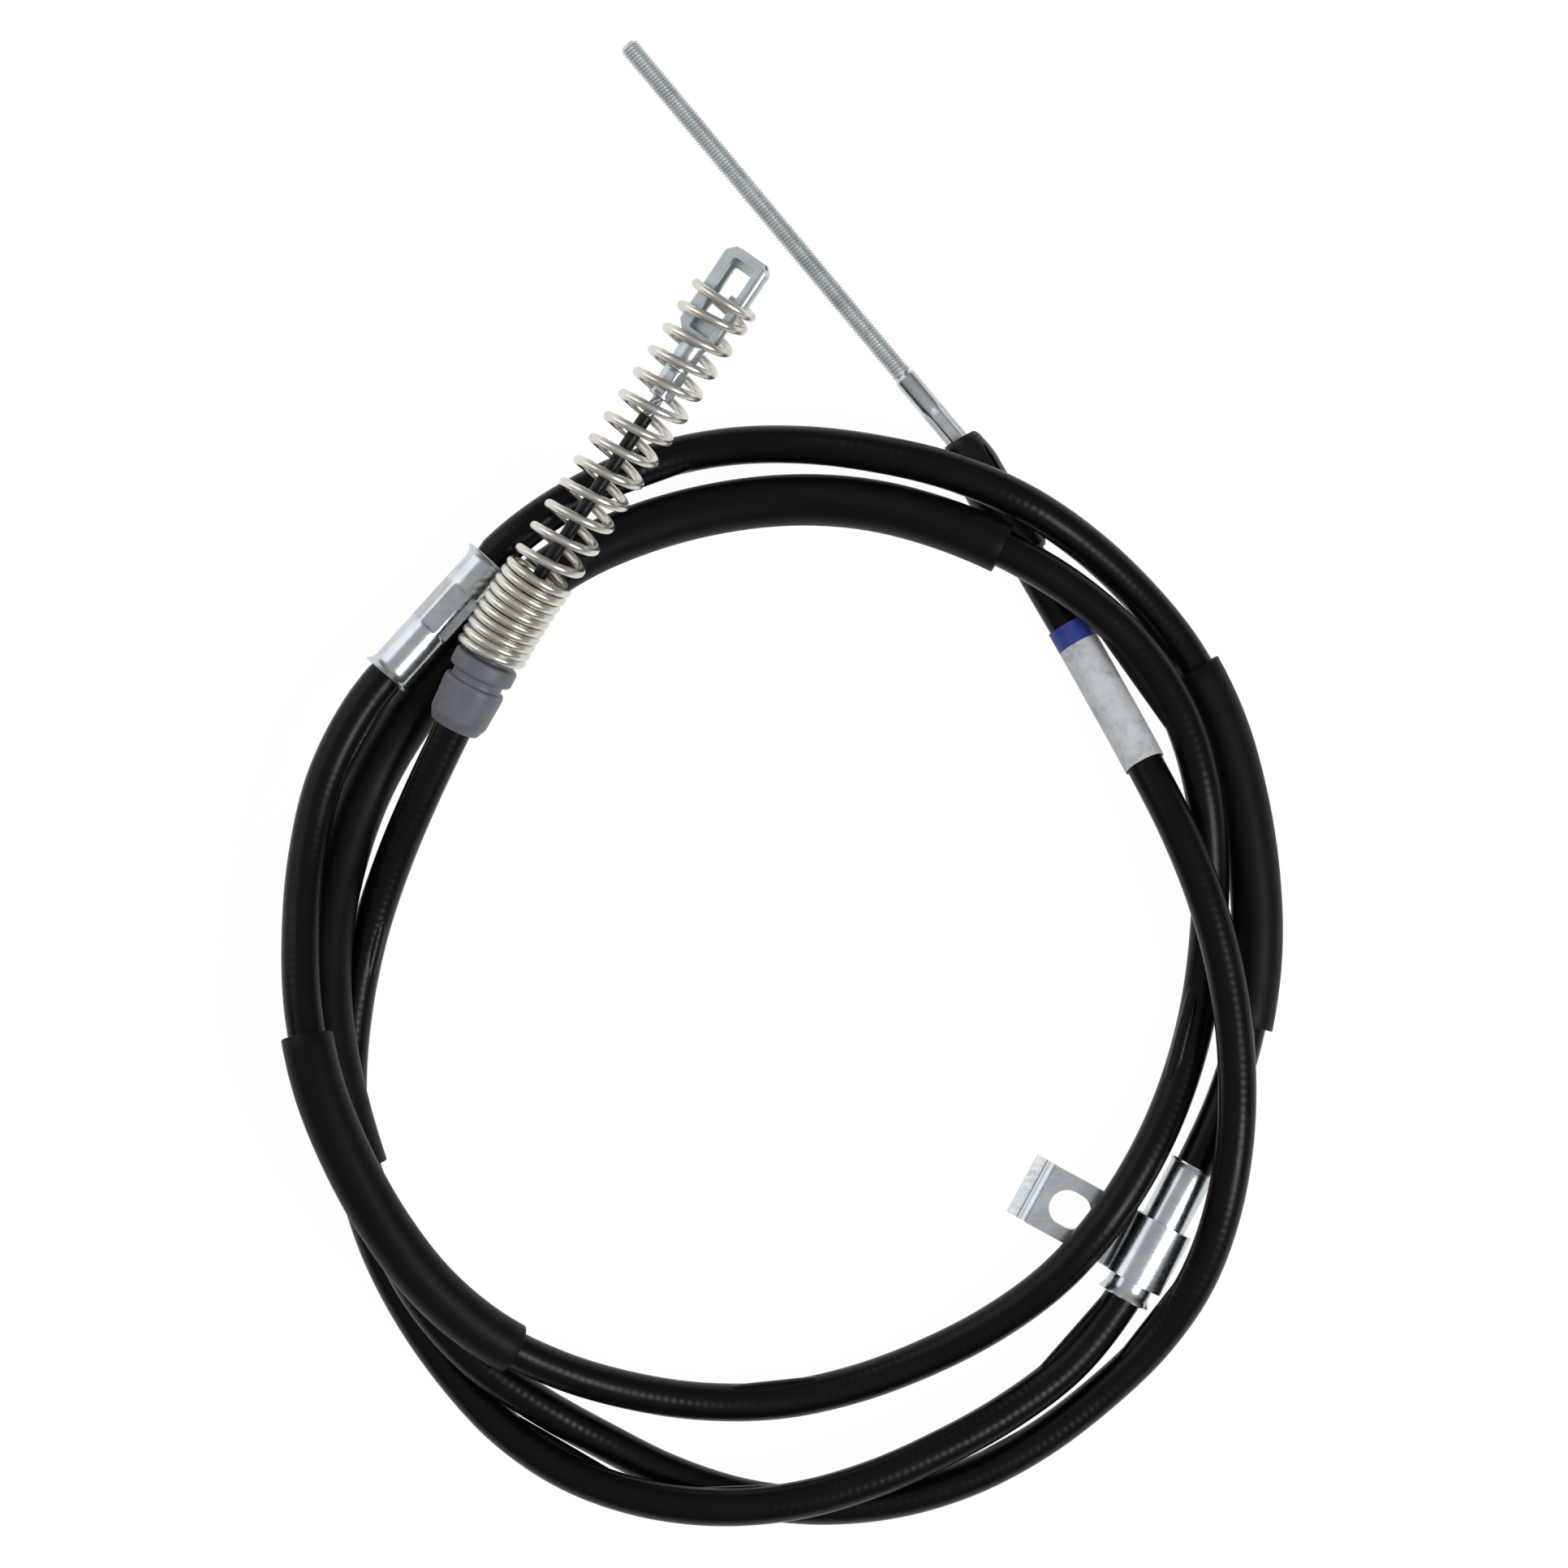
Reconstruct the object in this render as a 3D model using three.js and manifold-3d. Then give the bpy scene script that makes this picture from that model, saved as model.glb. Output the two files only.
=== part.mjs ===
// A parking brake cable for a passenger car, coiled as it is packed: a sheathed steel rope
// with a threaded stud at one end and a sheet-metal eye inside a return spring at the other.
// Millimetres, +Z up; the coil lies flat with its lowest strands on z = 0.

import * as THREE from 'three';
import { mergeVertices } from 'three/addons/utils/BufferGeometryUtils.js';
import Module from 'manifold-3d';

// Clearance between neighbouring pieces.
const GAP = 0.3;

// Conduit: plastic-covered casing with the steel rope sliding inside.
const CONDUIT_OD = 11.0;
const CONDUIT_BORE = 4.6;
const CORE_OD = 3.4;
const CONDUIT_STEPS = 100;

// Protective sleeves pushed over the conduit.
const SLEEVE_OD = 15.0;

// Printed identification label wrapped round the conduit.
const LABEL_OD = 12.4;
const LABEL_LENGTH = 47.0;

// Crimped ferrule: flared tube with a pressed middle.
const FERRULE_LENGTH = 44.6;
const FERRULE_OD = 12.1;
const FERRULE_LIP_OD = 16.1;
const FERRULE_WAIST_OD = 9.8;
const FERRULE_FLAT = 11.5;
const FERRULE_FLAT_LENGTH = 20.0;

// Bracket tube and the sheet-metal clamp round it.
const BRACKET_TUBE_LENGTH = 43.4;
const BRACKET_TUBE_OD = 13.5;
const BRACKET_FLARE_OD = 16.2;
const CLAMP_SHEET = 2.2;
const CLAMP_WIDTH = 18.8;
const CLAMP_OFFSET = -6.7;
const CLAMP_REACH = 34.9;
const CLAMP_LIP = 6.2;
const CLAMP_SLOT_LENGTH = 12.5;
const CLAMP_SLOT_WIDTH = 10.5;
const CLAMP_SLOT_AT = 25.5;
const CLAMP_LEG_DROP = 3.4;

// End cap that carries the stud end of the conduit.
const CAP_LENGTH = 39.0;
const CAP_OD = 14.2;
const CAP_MOUTH_OD = 9.8;
const CAP_MOUTH_BORE = 8.9;
const CAP_SHOULDER = 6.0;
const CONDUIT_TO_MOUTH = 28.0;

// Threaded stud with its crimped socket, M6.
const STUD_OD = 5.9;
const STUD_THREAD_LENGTH = 125.0;
const SOCKET_OD = 6.6;
const SOCKET_FLATS = 5.8;
const SOCKET_LENGTH = 31.0;
const SOCKET_FLAT_LENGTH = 19.0;
const SOCKET_IN_MOUTH = 6.65;
const STUD_ROPE_OD = 3.2;
const STUD_ROPE_LENGTH = 19.0;

// Spring seat at the eye end of the conduit.
const SEAT_BARREL_OD = 18.4;
const SEAT_COLLAR_OD = 19.2;
const SEAT_GROOVE_OD = 15.4;
const SEAT_NECK_OD = 12.4;
const SEAT_BORE = 10.8;
const SEAT_FOOT = -15.2;
const SEAT_NECK_END = 15.0;
const CONDUIT_IN_SEAT = 3.2;

// Return spring: close turns at the seat, open turns towards the eye, right-handed.
const WIRE_OD = 2.75;
const SPRING_OD = 20.9;
const CLOSE_TURNS = 9.8;
const CLOSE_PITCH = 2.84;
const OPEN_TURNS = 12.35;
const OPEN_PITCH = 7.55;
const END_TURNS = 0.75;
const END_PITCH = 1.4;
const SPRING_STEPS_PER_TURN = 12;
const SPRING_START = 8.45;
const SPRING_PHASE = 0.36;

// Rope and eye at the spring end.
const COATED_OD = 4.0;
const COATED_LENGTH = 73.7;
const EYE_ROPE_OD = 3.2;
const EYE_WIDTH = 12.0;
const EYE_LENGTH = 26.0;
const EYE_DEPTH = 5.4;
const EYE_SHEET = 1.5;
const EYE_WINDOW_WIDTH = 6.0;
const EYE_WINDOW_LENGTH = 15.6;
const EYE_CHAMFER = 1.8;
const BARREL_OD = 7.4;
const BARREL_LENGTH = 19.6;

// Distances along the route of what sits on the conduit.
const FERRULE_AT = 895.6;
const BRACKET_AT = 462.2;
const SLEEVE_RIGHT = [527.3, 634.2];
const SLEEVE_LEFT = [1027.8, 1139.2];
const SLEEVE_INNER = [1560.2, 1894.4];
const LABEL_AT = 2385.6;

// Centreline of the conduit from the spring seat to the mouth of the end cap.
const ROUTE = [
  [-89.6, 26.2, 24.5], [-95.5, 14.8, 22.3], [-105.1, -4.7, 17.2], [-113.7, -24.4, 10.9],
  [-120.7, -45.1, 6.4], [-125.1, -67.0, 5.6], [-126.7, -89.3, 5.7], [-124.8, -111.6, 5.7],
  [-118.7, -133.1, 5.6], [-108.8, -153.1, 5.7], [-96.0, -171.4, 6.5], [-80.7, -187.4, 9.4],
  [-62.2, -199.2, 13.6], [-41.3, -206.2, 16.7], [-19.1, -208.8, 17.7], [3.2, -207.0, 17.6],
  [24.7, -201.2, 16.6], [45.2, -192.5, 14.4], [64.8, -181.9, 11.9], [82.6, -168.6, 10.1],
  [96.7, -151.3, 9.5], [107.7, -131.8, 9.5], [118.3, -112.1, 9.5], [127.7, -91.9, 8.5],
  [134.2, -70.5, 7.7], [137.0, -48.3, 7.6], [136.2, -26.0, 7.7], [132.7, -3.9, 7.7],
  [126.5, 17.6, 7.6], [116.4, 37.5, 7.8], [102.3, 54.8, 9.6], [86.0, 69.4, 14.1],
  [67.8, 81.0, 19.8], [47.3, 89.5, 21.1], [25.9, 94.8, 17.3], [4.4, 97.6, 11.9],
  [-17.7, 97.1, 8.3], [-39.4, 92.3, 8.4], [-59.5, 83.2, 11.9], [-77.5, 70.7, 16.3],
  [-93.2, 54.9, 17.4], [-108.1, 38.2, 18.8], [-122.1, 20.8, 19.9], [-132.0, 0.8, 20.7],
  [-136.9, -20.9, 22.8], [-138.4, -42.7, 27.2], [-137.3, -64.5, 32.1], [-132.7, -86.2, 35.1],
  [-124.5, -106.9, 35.2], [-113.8, -126.5, 33.6], [-100.5, -144.2, 30.7], [-84.1, -158.6, 25.9],
  [-65.4, -168.8, 19.3], [-45.1, -175.7, 12.7], [-23.6, -179.5, 8.0], [-1.4, -179.4, 5.8],
  [20.4, -174.8, 5.7], [41.3, -166.9, 6.7], [60.9, -156.4, 9.5], [78.3, -143.0, 13.6],
  [92.9, -126.3, 16.1], [104.9, -107.6, 14.0], [114.0, -87.8, 9.0], [120.1, -66.5, 6.1],
  [122.9, -44.5, 8.0], [123.0, -22.7, 13.0], [120.4, -0.8, 17.2], [113.6, 20.3, 18.4],
  [101.3, 38.9, 18.9], [84.8, 53.9, 20.8], [65.8, 65.6, 22.4], [45.4, 74.4, 20.3],
  [24.6, 80.1, 14.5], [2.9, 81.8, 9.3], [-19.2, 79.5, 7.6], [-40.8, 73.8, 7.6],
  [-61.3, 64.8, 7.7], [-79.4, 51.8, 7.7], [-95.2, 35.9, 7.7], [-109.2, 18.5, 7.6],
  [-120.4, -0.8, 8.1], [-127.8, -21.7, 11.1], [-131.8, -43.4, 14.9], [-131.8, -65.5, 17.9],
  [-128.1, -87.5, 19.5], [-122.1, -109.0, 19.2], [-114.4, -130.0, 17.9], [-103.8, -149.6, 16.8],
  [-89.2, -166.5, 15.3], [-71.5, -179.6, 11.6], [-52.7, -190.8, 7.2], [-32.8, -200.9, 5.6],
  [-11.5, -207.7, 5.7], [10.7, -210.1, 5.7], [33.0, -208.0, 5.7], [54.3, -201.5, 5.7],
  [74.0, -191.0, 5.6], [91.8, -177.4, 6.2], [107.4, -161.8, 9.4], [119.1, -143.6, 15.0],
  [126.1, -123.0, 20.0], [129.6, -101.0, 22.0], [129.8, -78.7, 22.4], [127.0, -56.5, 23.0],
  [121.4, -34.9, 23.9], [113.3, -14.1, 22.9], [103.7, 5.5, 18.1], [93.6, 24.6, 12.1],
  [83.0, 43.9, 8.1], [71.8, 63.2, 7.2], [61.3, 81.4, 7.4], [50.8, 99.6, 7.3],
];

// Reference points of the straight end pieces, on the same frame as the route.
const SEAT_POINT = [-87.98, 29.33, 25.10];
const SPRING_AXIS = [
  [-87.98, 29.33, 25.10],
  [-83.09, 38.78, 26.93],
  [-76.28, 49.79, 29.70],
  [-68.71, 60.58, 32.40],
  [-45.59, 94.55, 37.50],
  [-22.63, 128.28, 42.60],
  [-8.36, 149.28, 45.80],
];
const EYE_POINT = [-24.60, 125.40, 42.16];
const STUD_TOWARDS = [-45.54, 213.96, 7.20];
const STUD_AT_MOUTH = [50.10, 99.25, 7.20];

const wasm = await Module();
wasm.setup();

const UP = new THREE.Vector3(0, 0, 1);
const vec = (p) => new THREE.Vector3(p[0], p[1], p[2]);

function toSolid(geometry) {
  const bare = geometry.clone();
  bare.deleteAttribute('normal');
  bare.deleteAttribute('uv');
  const merged = mergeVertices(bare, 1e-4);
  const mesh = new wasm.Mesh({
    numProp: 3,
    vertProperties: new Float32Array(merged.attributes.position.array),
    triVerts: new Uint32Array(merged.index.array),
  });
  return new wasm.Manifold(mesh);
}

function toGeometry(solid) {
  const mesh = solid.getMesh();
  const geometry = new THREE.BufferGeometry();
  geometry.setAttribute('position', new THREE.BufferAttribute(new Float32Array(mesh.vertProperties), 3));
  geometry.setIndex(new THREE.BufferAttribute(new Uint32Array(mesh.triVerts), 1));
  geometry.computeVertexNormals();
  return geometry;
}

function moved(geometry, x, y, z) {
  return geometry.translate(x, y, z);
}

// A closed ring or rod turned about Y from [radius, height] pairs.
function turned(profile, segments) {
  const points = profile.map(([r, h]) => new THREE.Vector2(r, h));
  if (profile[0][0] > 0) {
    points.push(points[0].clone());
  }
  const area = profile.reduce((sum, [r, h], i) => {
    const [r2, h2] = profile[(i + 1) % profile.length];
    return sum + r * h2 - r2 * h;
  }, 0);
  if (area < 0) {
    points.reverse();
  }
  return new THREE.LatheGeometry(points, segments);
}

// Rotation and position that take local Y to `along` and local Z close to `up`.
function seatFrame(origin, along, up = UP) {
  const y = along.clone().normalize();
  const x = new THREE.Vector3().crossVectors(y, up).normalize();
  const z = new THREE.Vector3().crossVectors(x, y);
  return new THREE.Matrix4().makeBasis(x, y, z).setPosition(origin);
}

function regularPolygon(radius, sides) {
  const points = [];
  for (let i = 0; i < sides; i += 1) {
    const a = (2 * Math.PI * (i + 0.5)) / sides;
    points.push(new THREE.Vector2(radius * Math.cos(a), radius * Math.sin(a)));
  }
  return points;
}

// Section of a tube: outline inside the outer diameter, bore outside the bore diameter.
function tubeSection(outerDiameter, outerSides, boreDiameter = 0, boreSides = 8) {
  const shape = new THREE.Shape(regularPolygon(outerDiameter / 2, outerSides));
  if (boreDiameter > 0) {
    const radius = boreDiameter / 2 / Math.cos(Math.PI / boreSides);
    shape.holes.push(new THREE.Path(regularPolygon(radius, boreSides).reverse()));
  }
  return shape;
}

// The conduit's centreline with its measuring table fine enough for its length.
const route = new THREE.CatmullRomCurve3(ROUTE.map(vec), false, 'centripetal');
route.arcLengthDivisions = 6000;
const routeLength = route.getLength();

// Distances along the route where the conduit gets a section, closer in tight bends.
function spreadStations(from, to, steps) {
  const samples = 1500;
  const h = (to - from) / samples;
  const tangent = (s) => route.getTangentAt(THREE.MathUtils.clamp(s / routeLength, 0, 1));
  const sums = [0];
  for (let i = 0; i < samples; i += 1) {
    const s = from + (i + 0.5) * h;
    const bend = tangent(s - 8).angleTo(tangent(s + 8)) / 16;
    sums.push(sums[i] + Math.sqrt(Math.max(bend, 0.002)));
  }
  const total = sums[samples];
  const result = [];
  let k = 0;
  for (let i = 0; i <= steps; i += 1) {
    const want = (total * i) / steps;
    while (k < samples - 1 && sums[k + 1] < want) {
      k += 1;
    }
    result.push(from + (k + (want - sums[k]) / (sums[k + 1] - sums[k])) * h);
  }
  return result;
}

const conduitEnd = routeLength - CONDUIT_TO_MOUTH;
const stations = spreadStations(0, conduitEnd, CONDUIT_STEPS);
const stationPoints = stations.map((s) => route.getPointAt(s / routeLength));

// A point on the straight line between two neighbouring sections of the conduit.
function chordPoint(s) {
  let i = 0;
  while (i < stations.length - 2 && stations[i + 1] < s) {
    i += 1;
  }
  const t = (s - stations[i]) / (stations[i + 1] - stations[i]);
  return stationPoints[i].clone().lerp(stationPoints[i + 1], t);
}

// Part of the route between two distances, with sections where the conduit has its own.
class Stretch extends THREE.Curve {
  constructor(from, to) {
    super();
    const inner = stations.filter((s) => s > from + 2 && s < to - 2);
    this.marks = [from, ...inner, to];
  }

  get steps() {
    return this.marks.length - 1;
  }

  distanceAt(u) {
    const x = u * this.steps;
    const i = Math.min(Math.floor(x), this.steps - 1);
    return this.marks[i] + (x - i) * (this.marks[i + 1] - this.marks[i]);
  }

  getPointAt(u) {
    return chordPoint(this.distanceAt(u));
  }

  getTangentAt(u) {
    return route.getTangentAt(this.distanceAt(u) / routeLength);
  }
}

function sweep(section, path, steps) {
  return new THREE.ExtrudeGeometry(section, { steps, extrudePath: path, curveSegments: 1 });
}

function sweepStretch(section, from, to) {
  const path = new Stretch(from, to);
  return sweep(section, path, path.steps);
}

// Straight frame of a piece that sits on the conduit, centred at a distance along the route.
function routeFrame(at, length) {
  const a = route.getPointAt((at - length / 2) / routeLength);
  const b = route.getPointAt((at + length / 2) / routeLength);
  return [a.clone().lerp(b, 0.5), b.sub(a).normalize()];
}

const group = new THREE.Group();
group.name = 'parking_brake_cable';

const look = (color, roughness, metalness) => new THREE.MeshStandardMaterial({ color, roughness, metalness });
const blackPvc = () => look(0x17181a, 0.42, 0.0);
const blackSleeve = () => look(0x1b1b1c, 0.6, 0.0);
const blackMoulding = () => look(0x141416, 0.4, 0.0);
const greyMoulding = () => look(0x6d6f76, 0.55, 0.0);
const zincSteel = () => look(0xb9c0c6, 0.3, 1.0);
const springSteel = () => look(0xb5ac9c, 0.32, 1.0);
const ropeSteel = () => look(0x9a9ea2, 0.38, 1.0);
const labelFoil = () => look(0xd3d5d6, 0.45, 0.1);

function addMesh(name, geometry, material, frame = null) {
  const mesh = new THREE.Mesh(geometry, material);
  mesh.name = name;
  if (frame) {
    frame.decompose(mesh.position, mesh.quaternion, mesh.scale);
    mesh.scale.set(1, 1, 1);
  }
  group.add(mesh);
  return mesh;
}

// Straight axes of the ferrule and of the bracket tube.
const [ferruleCentre, ferruleOnward] = routeFrame(FERRULE_AT, FERRULE_LENGTH);
const ferruleFrame = seatFrame(ferruleCentre, ferruleOnward.negate());
const [bracketCentre, bracketOnward] = routeFrame(BRACKET_AT, BRACKET_TUBE_LENGTH);
const bracketFrame = seatFrame(bracketCentre, bracketOnward);

// Straight axes of the spring seat and of the end cap, from the ends of the route.
const seatPoint = vec(SEAT_POINT);
const seatAlong = vec(ROUTE[0]).sub(vec(ROUTE[1])).normalize();
const seatHoldLength = -SEAT_FOOT - CONDUIT_IN_SEAT + 2;
const seatHoldFrame = seatFrame(
  seatPoint.clone().addScaledVector(seatAlong, (SEAT_FOOT - CONDUIT_IN_SEAT + 1.4) / 2),
  seatAlong,
);
const mouth = vec(ROUTE[ROUTE.length - 1]);
const capAlong = mouth.clone().sub(vec(ROUTE[ROUTE.length - 2])).normalize();
const capHoldLength = CAP_LENGTH - CONDUIT_TO_MOUTH + 2;
const capHoldFrame = seatFrame(
  mouth.clone().addScaledVector(capAlong, -(CAP_LENGTH + CONDUIT_TO_MOUTH) / 2),
  capAlong,
);

// Conduit, with its cover pressed in under the ferrule and trued under the bracket tube.
function pressedShell(diameter, length, frame) {
  const shell = turned([
    [diameter / 2, -length / 2],
    [CONDUIT_OD, -length / 2],
    [CONDUIT_OD, length / 2],
    [diameter / 2, length / 2],
  ], 24);
  return toSolid(shell.applyMatrix4(frame));
}
const conduitSweep = sweepStretch(tubeSection(CONDUIT_OD, 10, CONDUIT_BORE, 6), 0, conduitEnd);
const conduit = toSolid(conduitSweep)
  .subtract(pressedShell(FERRULE_WAIST_OD, FERRULE_LENGTH + 2 * GAP, ferruleFrame))
  .subtract(pressedShell(CONDUIT_OD, BRACKET_TUBE_LENGTH + 2 * GAP, bracketFrame))
  .subtract(pressedShell(CONDUIT_OD, seatHoldLength, seatHoldFrame))
  .subtract(pressedShell(CONDUIT_OD, capHoldLength, capHoldFrame));
addMesh('conduit', toGeometry(conduit), blackPvc());

// Steel rope inside the conduit.
addMesh('core_cable', sweepStretch(tubeSection(CORE_OD, 6), 0.5, conduitEnd - 0.5), ropeSteel());

// Sleeves.
const sleeveSection = tubeSection(SLEEVE_OD, 16, CONDUIT_OD + 2 * GAP, 16);
function addSleeve(name, [from, to]) {
  addMesh(name, sweepStretch(sleeveSection, from, to), blackSleeve());
}
addSleeve('sleeve_right', SLEEVE_RIGHT);
addSleeve('sleeve_left', SLEEVE_LEFT);
addSleeve('sleeve_inner', SLEEVE_INNER);

// Label.
const labelSection = tubeSection(LABEL_OD, 24, CONDUIT_OD + 2 * GAP, 24);
addMesh(
  'identification_label',
  sweepStretch(labelSection, LABEL_AT - LABEL_LENGTH / 2, LABEL_AT + LABEL_LENGTH / 2),
  labelFoil(),
);

// Ferrule.
{
  const half = FERRULE_LENGTH / 2;
  const outer = FERRULE_OD / 2;
  const lip = FERRULE_LIP_OD / 2;
  const bore = FERRULE_WAIST_OD / 2 + GAP;
  const body = turned([
    [bore + 0.9, -half],
    [lip - 0.2, -half],
    [lip, -half + 0.7],
    [outer + 0.7, -half + 2.4],
    [outer, -half + 4.2],
    [outer, half - 4.2],
    [outer + 0.7, half - 2.4],
    [lip, half - 0.7],
    [lip - 0.2, half],
    [bore + 0.9, half],
    [bore, half - 1.6],
    [bore, -half + 1.6],
  ], 28);
  const side = FERRULE_LIP_OD;
  const press = (angle) => {
    const block = new THREE.BoxGeometry(side, FERRULE_FLAT_LENGTH, side);
    moved(block, 0, -3, FERRULE_FLAT / 2 + side / 2);
    return toSolid(block.applyMatrix4(new THREE.Matrix4().makeRotationY(angle)));
  };
  let ferrule = toSolid(body);
  for (let i = 0; i < 6; i += 1) {
    ferrule = ferrule.subtract(press((i * Math.PI) / 3));
  }
  addMesh('crimp_ferrule', toGeometry(ferrule), zincSteel(), ferruleFrame);
}

// Bracket tube.
{
  const half = BRACKET_TUBE_LENGTH / 2;
  const outer = BRACKET_TUBE_OD / 2;
  const flare = BRACKET_FLARE_OD / 2;
  const bore = CONDUIT_OD / 2 + GAP;
  const tube = turned([
    [bore + 1.1, -half],
    [flare, -half],
    [flare - 0.2, -half + 0.9],
    [outer, -half + 3.4],
    [outer, half - 1.8],
    [outer + 0.6, half - 0.7],
    [outer + 0.5, half],
    [bore + 0.3, half],
    [bore, half - 0.6],
    [bore, -half + 2.4],
  ], 28);
  addMesh('bracket_tube', tube, zincSteel(), bracketFrame);
}

// Clamp: one strip round the tube with its two ends laid together as a slotted lug.
{
  const inner = BRACKET_TUBE_OD / 2 + GAP;
  const outer = inner + CLAMP_SHEET;
  const width = CLAMP_WIDTH;
  const split = -CLAMP_LEG_DROP;
  const ring = turned([
    [inner, -width / 2],
    [outer, -width / 2],
    [outer, width / 2],
    [inner, width / 2],
  ], 36);
  const legs = moved(
    new THREE.BoxGeometry(CLAMP_REACH - inner + 1, width, 2 * CLAMP_SHEET + GAP),
    -(CLAMP_REACH + inner - 1) / 2, 0, split,
  );
  const lip = new THREE.BoxGeometry(CLAMP_LIP + 3, width, CLAMP_SHEET);
  moved(lip, -(CLAMP_LIP + 3) / 2 + 1.5, 0, 0);
  lip.applyMatrix4(new THREE.Matrix4().makeRotationY(-0.22));
  moved(lip, -CLAMP_REACH, 0, split - (CLAMP_SHEET + GAP) / 2);
  const bore = turned([[0, -width], [inner, -width], [inner, width], [0, width]], 36);
  const cut = moved(
    new THREE.BoxGeometry(CLAMP_REACH, width + 2, GAP),
    -CLAMP_REACH / 2 - inner / 2 - 0.5, 0, split,
  );
  const slotRun = (CLAMP_SLOT_LENGTH - CLAMP_SLOT_WIDTH) / 2;
  const post = (offset) => moved(
    new THREE.CylinderGeometry(CLAMP_SLOT_WIDTH / 2, CLAMP_SLOT_WIDTH / 2, 20, 28).rotateX(Math.PI / 2),
    -CLAMP_SLOT_AT + offset, 0, split,
  );
  const slotBlock = moved(
    new THREE.BoxGeometry(2 * slotRun, CLAMP_SLOT_WIDTH, 20),
    -CLAMP_SLOT_AT, 0, split,
  );
  const clamp = toSolid(ring)
    .add(toSolid(legs))
    .add(toSolid(lip))
    .subtract(toSolid(bore))
    .subtract(toSolid(cut))
    .subtract(toSolid(post(-slotRun)).add(toSolid(post(slotRun))).add(toSolid(slotBlock)));
  const frame = bracketFrame.clone();
  const shift = new THREE.Vector3(0, CLAMP_OFFSET, 0).applyMatrix4(bracketFrame);
  frame.setPosition(shift);
  addMesh('clamp_bracket', toGeometry(clamp), zincSteel(), frame);
}

// End cap: its mouth is the last route point and it runs back over the conduit.
{
  const outer = CAP_OD / 2;
  const cavity = CONDUIT_OD / 2 + GAP;
  const body = turned([
    [CAP_MOUTH_BORE / 2, 0],
    [CAP_MOUTH_OD / 2, -0.1],
    [CAP_MOUTH_OD / 2 + 0.9, -1.2],
    [outer - 0.3, -CAP_SHOULDER],
    [outer, -CAP_SHOULDER - 3],
    [outer, -CAP_LENGTH + 1.2],
    [outer - 0.8, -CAP_LENGTH],
    [cavity + 0.4, -CAP_LENGTH],
    [cavity, -CAP_LENGTH + 0.8],
    [cavity, -CAP_SHOULDER],
    [CAP_MOUTH_BORE / 2, -2.2],
  ], 28);
  const lug = (angle) => {
    const block = new THREE.CylinderGeometry(1.2, 2.1, 3.4, 4);
    moved(block, 0, -CAP_LENGTH + 3.4, outer - 0.2);
    return toSolid(block.applyMatrix4(new THREE.Matrix4().makeRotationY(angle)));
  };
  const hollow = turned([[0, -CAP_LENGTH - 1], [cavity, -CAP_LENGTH - 1], [cavity, -CAP_SHOULDER], [0, -CAP_SHOULDER]], 28);
  const cap = toSolid(body)
    .add(lug(Math.PI / 2))
    .add(lug(-Math.PI / 2))
    .subtract(toSolid(hollow));
  addMesh('end_cap', toGeometry(cap), blackMoulding(), seatFrame(mouth, capAlong));
}

// Stud with its crimped socket; the thread is a plain rod at its outside diameter.
const studFoot = vec(STUD_AT_MOUTH);
const studAlong = vec(STUD_TOWARDS).sub(studFoot).normalize();
{
  const rod = STUD_OD / 2;
  const socket = SOCKET_OD / 2;
  const socketFrom = -SOCKET_IN_MOUTH;
  const rodFrom = socketFrom + SOCKET_LENGTH;
  const tip = rodFrom + STUD_THREAD_LENGTH;
  const ropeHole = STUD_ROPE_OD / 2 + GAP;
  const body = turned([
    [0, socketFrom + 6],
    [ropeHole, socketFrom + 6],
    [ropeHole, socketFrom],
    [socket - 0.4, socketFrom],
    [socket, socketFrom + 0.5],
    [socket, rodFrom - 0.8],
    [rod, rodFrom],
    [rod, tip - 1.2],
    [rod - 1.1, tip],
    [0, tip],
  ], 24);
  const side = 3 * SOCKET_OD;
  let stud = toSolid(body);
  for (let i = 0; i < 6; i += 1) {
    const block = moved(
      new THREE.BoxGeometry(side, SOCKET_FLAT_LENGTH, side),
      0, socketFrom + SOCKET_FLAT_LENGTH / 2 - 0.1, SOCKET_FLATS / 2 + side / 2,
    );
    stud = stud.subtract(toSolid(block.applyMatrix4(new THREE.Matrix4().makeRotationY((i * Math.PI) / 3))));
  }
  const frame = seatFrame(studFoot, studAlong);
  addMesh('threaded_stud', toGeometry(stud), zincSteel(), frame);

  const rope = new THREE.CylinderGeometry(STUD_ROPE_OD / 2, STUD_ROPE_OD / 2, STUD_ROPE_LENGTH + 5, 10);
  moved(rope, 0, socketFrom + 5 - (STUD_ROPE_LENGTH + 5) / 2, 0);
  addMesh('stud_cable', rope, ropeSteel(), frame);
}

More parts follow.
